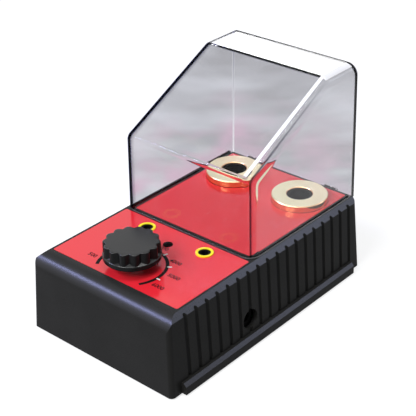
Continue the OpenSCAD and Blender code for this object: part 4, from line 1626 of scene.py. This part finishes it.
@dataclass
class Fittings:
    """Plug seats, lead sockets, lamp, hinge pins and what is under the deck."""

    seat_x: float = field(init=False)
    seat_y: float = field(init=False)
    ring_r: float = field(init=False)
    deck: float = field(init=False)
    # Dark ring under each plug ring: a painted contact shadow
    shadow_ring_h: float = 0.25
    shadow_ring_out: float = 0.12
    shadow_ring_w: float = 1.2
    shadow_ring_round: float = 0.1
    shadow_ring_steps: int = 2
    shadow_ring_sides: int = 96

    def __post_init__(self) -> None:
        """Takes the seats' places and the rings' size from the frame."""
        low, high = box_of("plug_ring_right")
        self.seat_x, self.seat_y, _ = middle_of("plug_ring_right")
        self.ring_r = (high.x - low.x) / 2
        self.deck = box_of("test_panel")[1].z

    def disc(self, name: str, radius: float, low: float, high: float) -> Shape:
        """Disc at the left seat, between two heights above the deck."""
        ends = [(-self.seat_x, self.seat_y, self.deck + height) for height in (low, high)]
        return Shape.rod(name, radius, *ends, self.shadow_ring_sides)

    def painted_shadow_rings(self) -> None:
        """Thin dark ring that paints the contact shadow as a line under each plug ring; the right one is a
        copy of the left.
        """
        outer = self.ring_r + self.shadow_ring_out
        first = self.disc("ring_gasket_left", outer, 0.0, self.shadow_ring_h)
        hole = self.disc("hole", outer - self.shadow_ring_w, -OVER, OVER)
        first.carve(hole, "DIFFERENCE").tidy().blunt(self.shadow_ring_round, self.shadow_ring_steps)
        second = first.copy("ring_shadow_line_right", (2 * self.seat_x, 0.0, 0.0))
        for shape in (first, second):
            shape.done(Body.CASE, Finishes.BORE_BLACK)

    def build(self) -> None:
        """Models the painted shadow rings under the plug rings and coats the fittings on both sides and the
        inner parts.
        """
        self.painted_shadow_rings()
        paired = {
            Finishes.BORE_BLACK: ("plug_sleeve", "socket_sleeve"),
            Finishes.BRASS: ("ring_nut", "spark_contact", "socket_contact"),
            Finishes.STEEL: ("contact_nut", "socket_nut", "hinge_pin"),
            Finishes.LEAD_RED: ("spark_lead",),
            Finishes.COLLAR_YELLOW: ("socket_collar",),
        }
        single = {
            Finishes.BORE_BLACK: ("supply_inlet",),
            Finishes.BRASS: ("earth_strap",),
            Finishes.STEEL: ("control_washer", "control_nut", "coil_screws", "board_screws", "inlet_pin"),
            Finishes.ALUMINIUM: ("control_body", "heat_sink"),
            Finishes.PART_BLACK: ("lamp_clip", "drive_transistor", "timer_chip"),
            Finishes.LENS_DARK: ("power_lamp",),
            Finishes.COIL_BLUE: ("spark_coil",),
            Finishes.CAP_BLUE: ("storage_capacitor",),
            Finishes.BOARD: ("circuit_board",),
        }
        for side in Side:
            tag = "_" + side.tag
            coat(Finishes.brass_ring(side, (side.value * self.seat_x, self.seat_y)), "plug_ring" + tag)
            for finish, names in paired.items():
                coat(finish, *(name + tag for name in names))
        for finish, names in single.items():
            coat(finish, *names)


def put(name: str, data: bpy.types.Light | bpy.types.Camera) -> bpy.types.Object:
    """Adds a lamp or a camera to the scene.

    Args:
        name: name of the object.
        data: its settings.

    Returns:
        The new object.
    """
    thing = bpy.data.objects.new(name, data)
    bpy.context.scene.collection.objects.link(thing)
    return thing


@dataclass(frozen=True)
class Lamp:
    """One rectangular softbox."""

    name: str
    place: Point
    aim: Point
    size: Pair
    watts: float
    colour: Colour = WHITE

    def hang(self) -> None:
        """Adds the lamp, facing its aim."""
        data = bpy.data.lights.new(self.name, "AREA")
        data.shape = "RECTANGLE"
        data.size, data.size_y = (s * MM for s in self.size)
        data.energy = self.watts
        data.color = self.colour
        lamp = put(self.name, data)
        lamp.location = Vector(self.place) * MM
        lamp.rotation_euler = (Vector(self.aim) - Vector(self.place)).to_track_quat("-Z", "Y").to_euler()


@dataclass
class Studio:
    """Floor, soft lamps, white surroundings and the photo's camera."""

    azimuth: float = 41.686
    elevation: float = 29.524
    roll: float = -1.445
    target: Point = (5.839, -1.772, 55.089)
    distance: float = 579.555
    lens: float = 100.106
    sensor: float = 36.0
    clip: Pair = (10.0, 100000.0)
    floor_side: float = 12000.0
    floor_grey: Colour = (0.35, 0.35, 0.35)
    floor_glow: float = 0.75
    sky: Colour = (0.93, 0.95, 1.0)
    sky_level: float = 0.22
    seen: tuple[str, ...] = ("Camera", "Glossy", "Transmission")
    lamps: tuple[Lamp, ...] = (
        Lamp("key", (0.0, -860.0, 790.0), (0.0, 0.0, 40.0), (600.0, 400.0), 9.2),
        Lamp("top", (262.0, -60.0, 1400.0), (0.0, 0.0, 60.0), (900.0, 200.0), 6.2),
        Lamp(
            "edge_strip", (-640.0, -540.0, 720.0), (0.0, -60.0, 40.0), (420.0, 120.0), 5.0,
            colour=(0.62, 0.65, 1.0),
        ),
        Lamp("rear", (640.0, 845.0, 760.0), (0.0, 0.0, 40.0), (320.0, 320.0), 1.2, (0.75, 0.82, 1.0)),
        Lamp("top_strip", (-925.0, 1243.0, 716.0), (0.0, 63.0, 116.0), (300.0, 107.0), 0.6),
    )

    def camera(self) -> None:
        """Camera fitted to the photo."""
        az, el, roll = (math.radians(a) for a in (self.azimuth, self.elevation, self.roll))
        back = Vector((math.sin(az) * math.cos(el), -math.cos(az) * math.cos(el), math.sin(el)))
        right = Vector((math.cos(az), math.sin(az), 0.0))
        up = back.cross(right)
        turned_right = right * math.cos(roll) + up * math.sin(roll)
        turned_up = up * math.cos(roll) - right * math.sin(roll)
        data = bpy.data.cameras.new("photo_camera")
        data.lens = self.lens
        data.sensor_width = self.sensor
        data.clip_start, data.clip_end = (reach * MM for reach in self.clip)
        camera = put("photo_camera", data)
        turn = Matrix((turned_right, turned_up, back)).transposed().to_4x4()
        camera.matrix_world = Matrix.Translation((Vector(self.target) + back * self.distance) * MM) @ turn
        bpy.context.scene.camera = camera

    def floor(self) -> None:
        """Pale floor that keeps the tester's shadow."""
        Shape.clear()
        bpy.ops.mesh.primitive_plane_add(size=self.floor_side * MM)
        shape = Shape("floor")
        recipe = Recipe("floor_white")
        recipe.fill(
            Base_Color=self.floor_grey,
            Roughness=1.0,
            Specular_IOR_Level=0.0,
            Emission_Color=WHITE,
            Emission_Strength=recipe.calc("MULTIPLY", recipe.rays(*self.seen), self.floor_glow),
        )
        shape.obj.data.materials.append(recipe.material)

    def surroundings(self) -> None:
        """White world for what is seen in it, and a plain soft level for what it lights."""
        world = bpy.data.worlds.new("studio")
        bpy.context.scene.world = world
        tree = Tree(world)
        shade = tree.node("Background", {"Color": self.sky, "Strength": self.sky_level}).outputs[0]
        white = tree.node("Background", {"Color": WHITE, "Strength": 1.0}).outputs[0]
        both = tree.node("MixShader", {0: tree.rays(*self.seen), 1: shade, 2: white}).outputs[0]
        tree.node("OutputWorld", {"Surface": both})

    def build(self) -> None:
        """Sets up the studio."""
        self.camera()
        self.floor()
        self.surroundings()
        for lamp in self.lamps:
            lamp.hang()
        bpy.context.scene.view_settings.view_transform = "Standard"


def main() -> None:
    """Builds the sub-assemblies in order, then the studio."""
    logging.basicConfig(level=logging.INFO, format="%(message)s")
    for part in (CaseWork(), DialPrint(), SpeedKnob(), Fittings(), ClearHood(), Studio()):
        log.info("building %s", type(part).__name__)
        part.build()


if __name__ == "__main__":
    main()
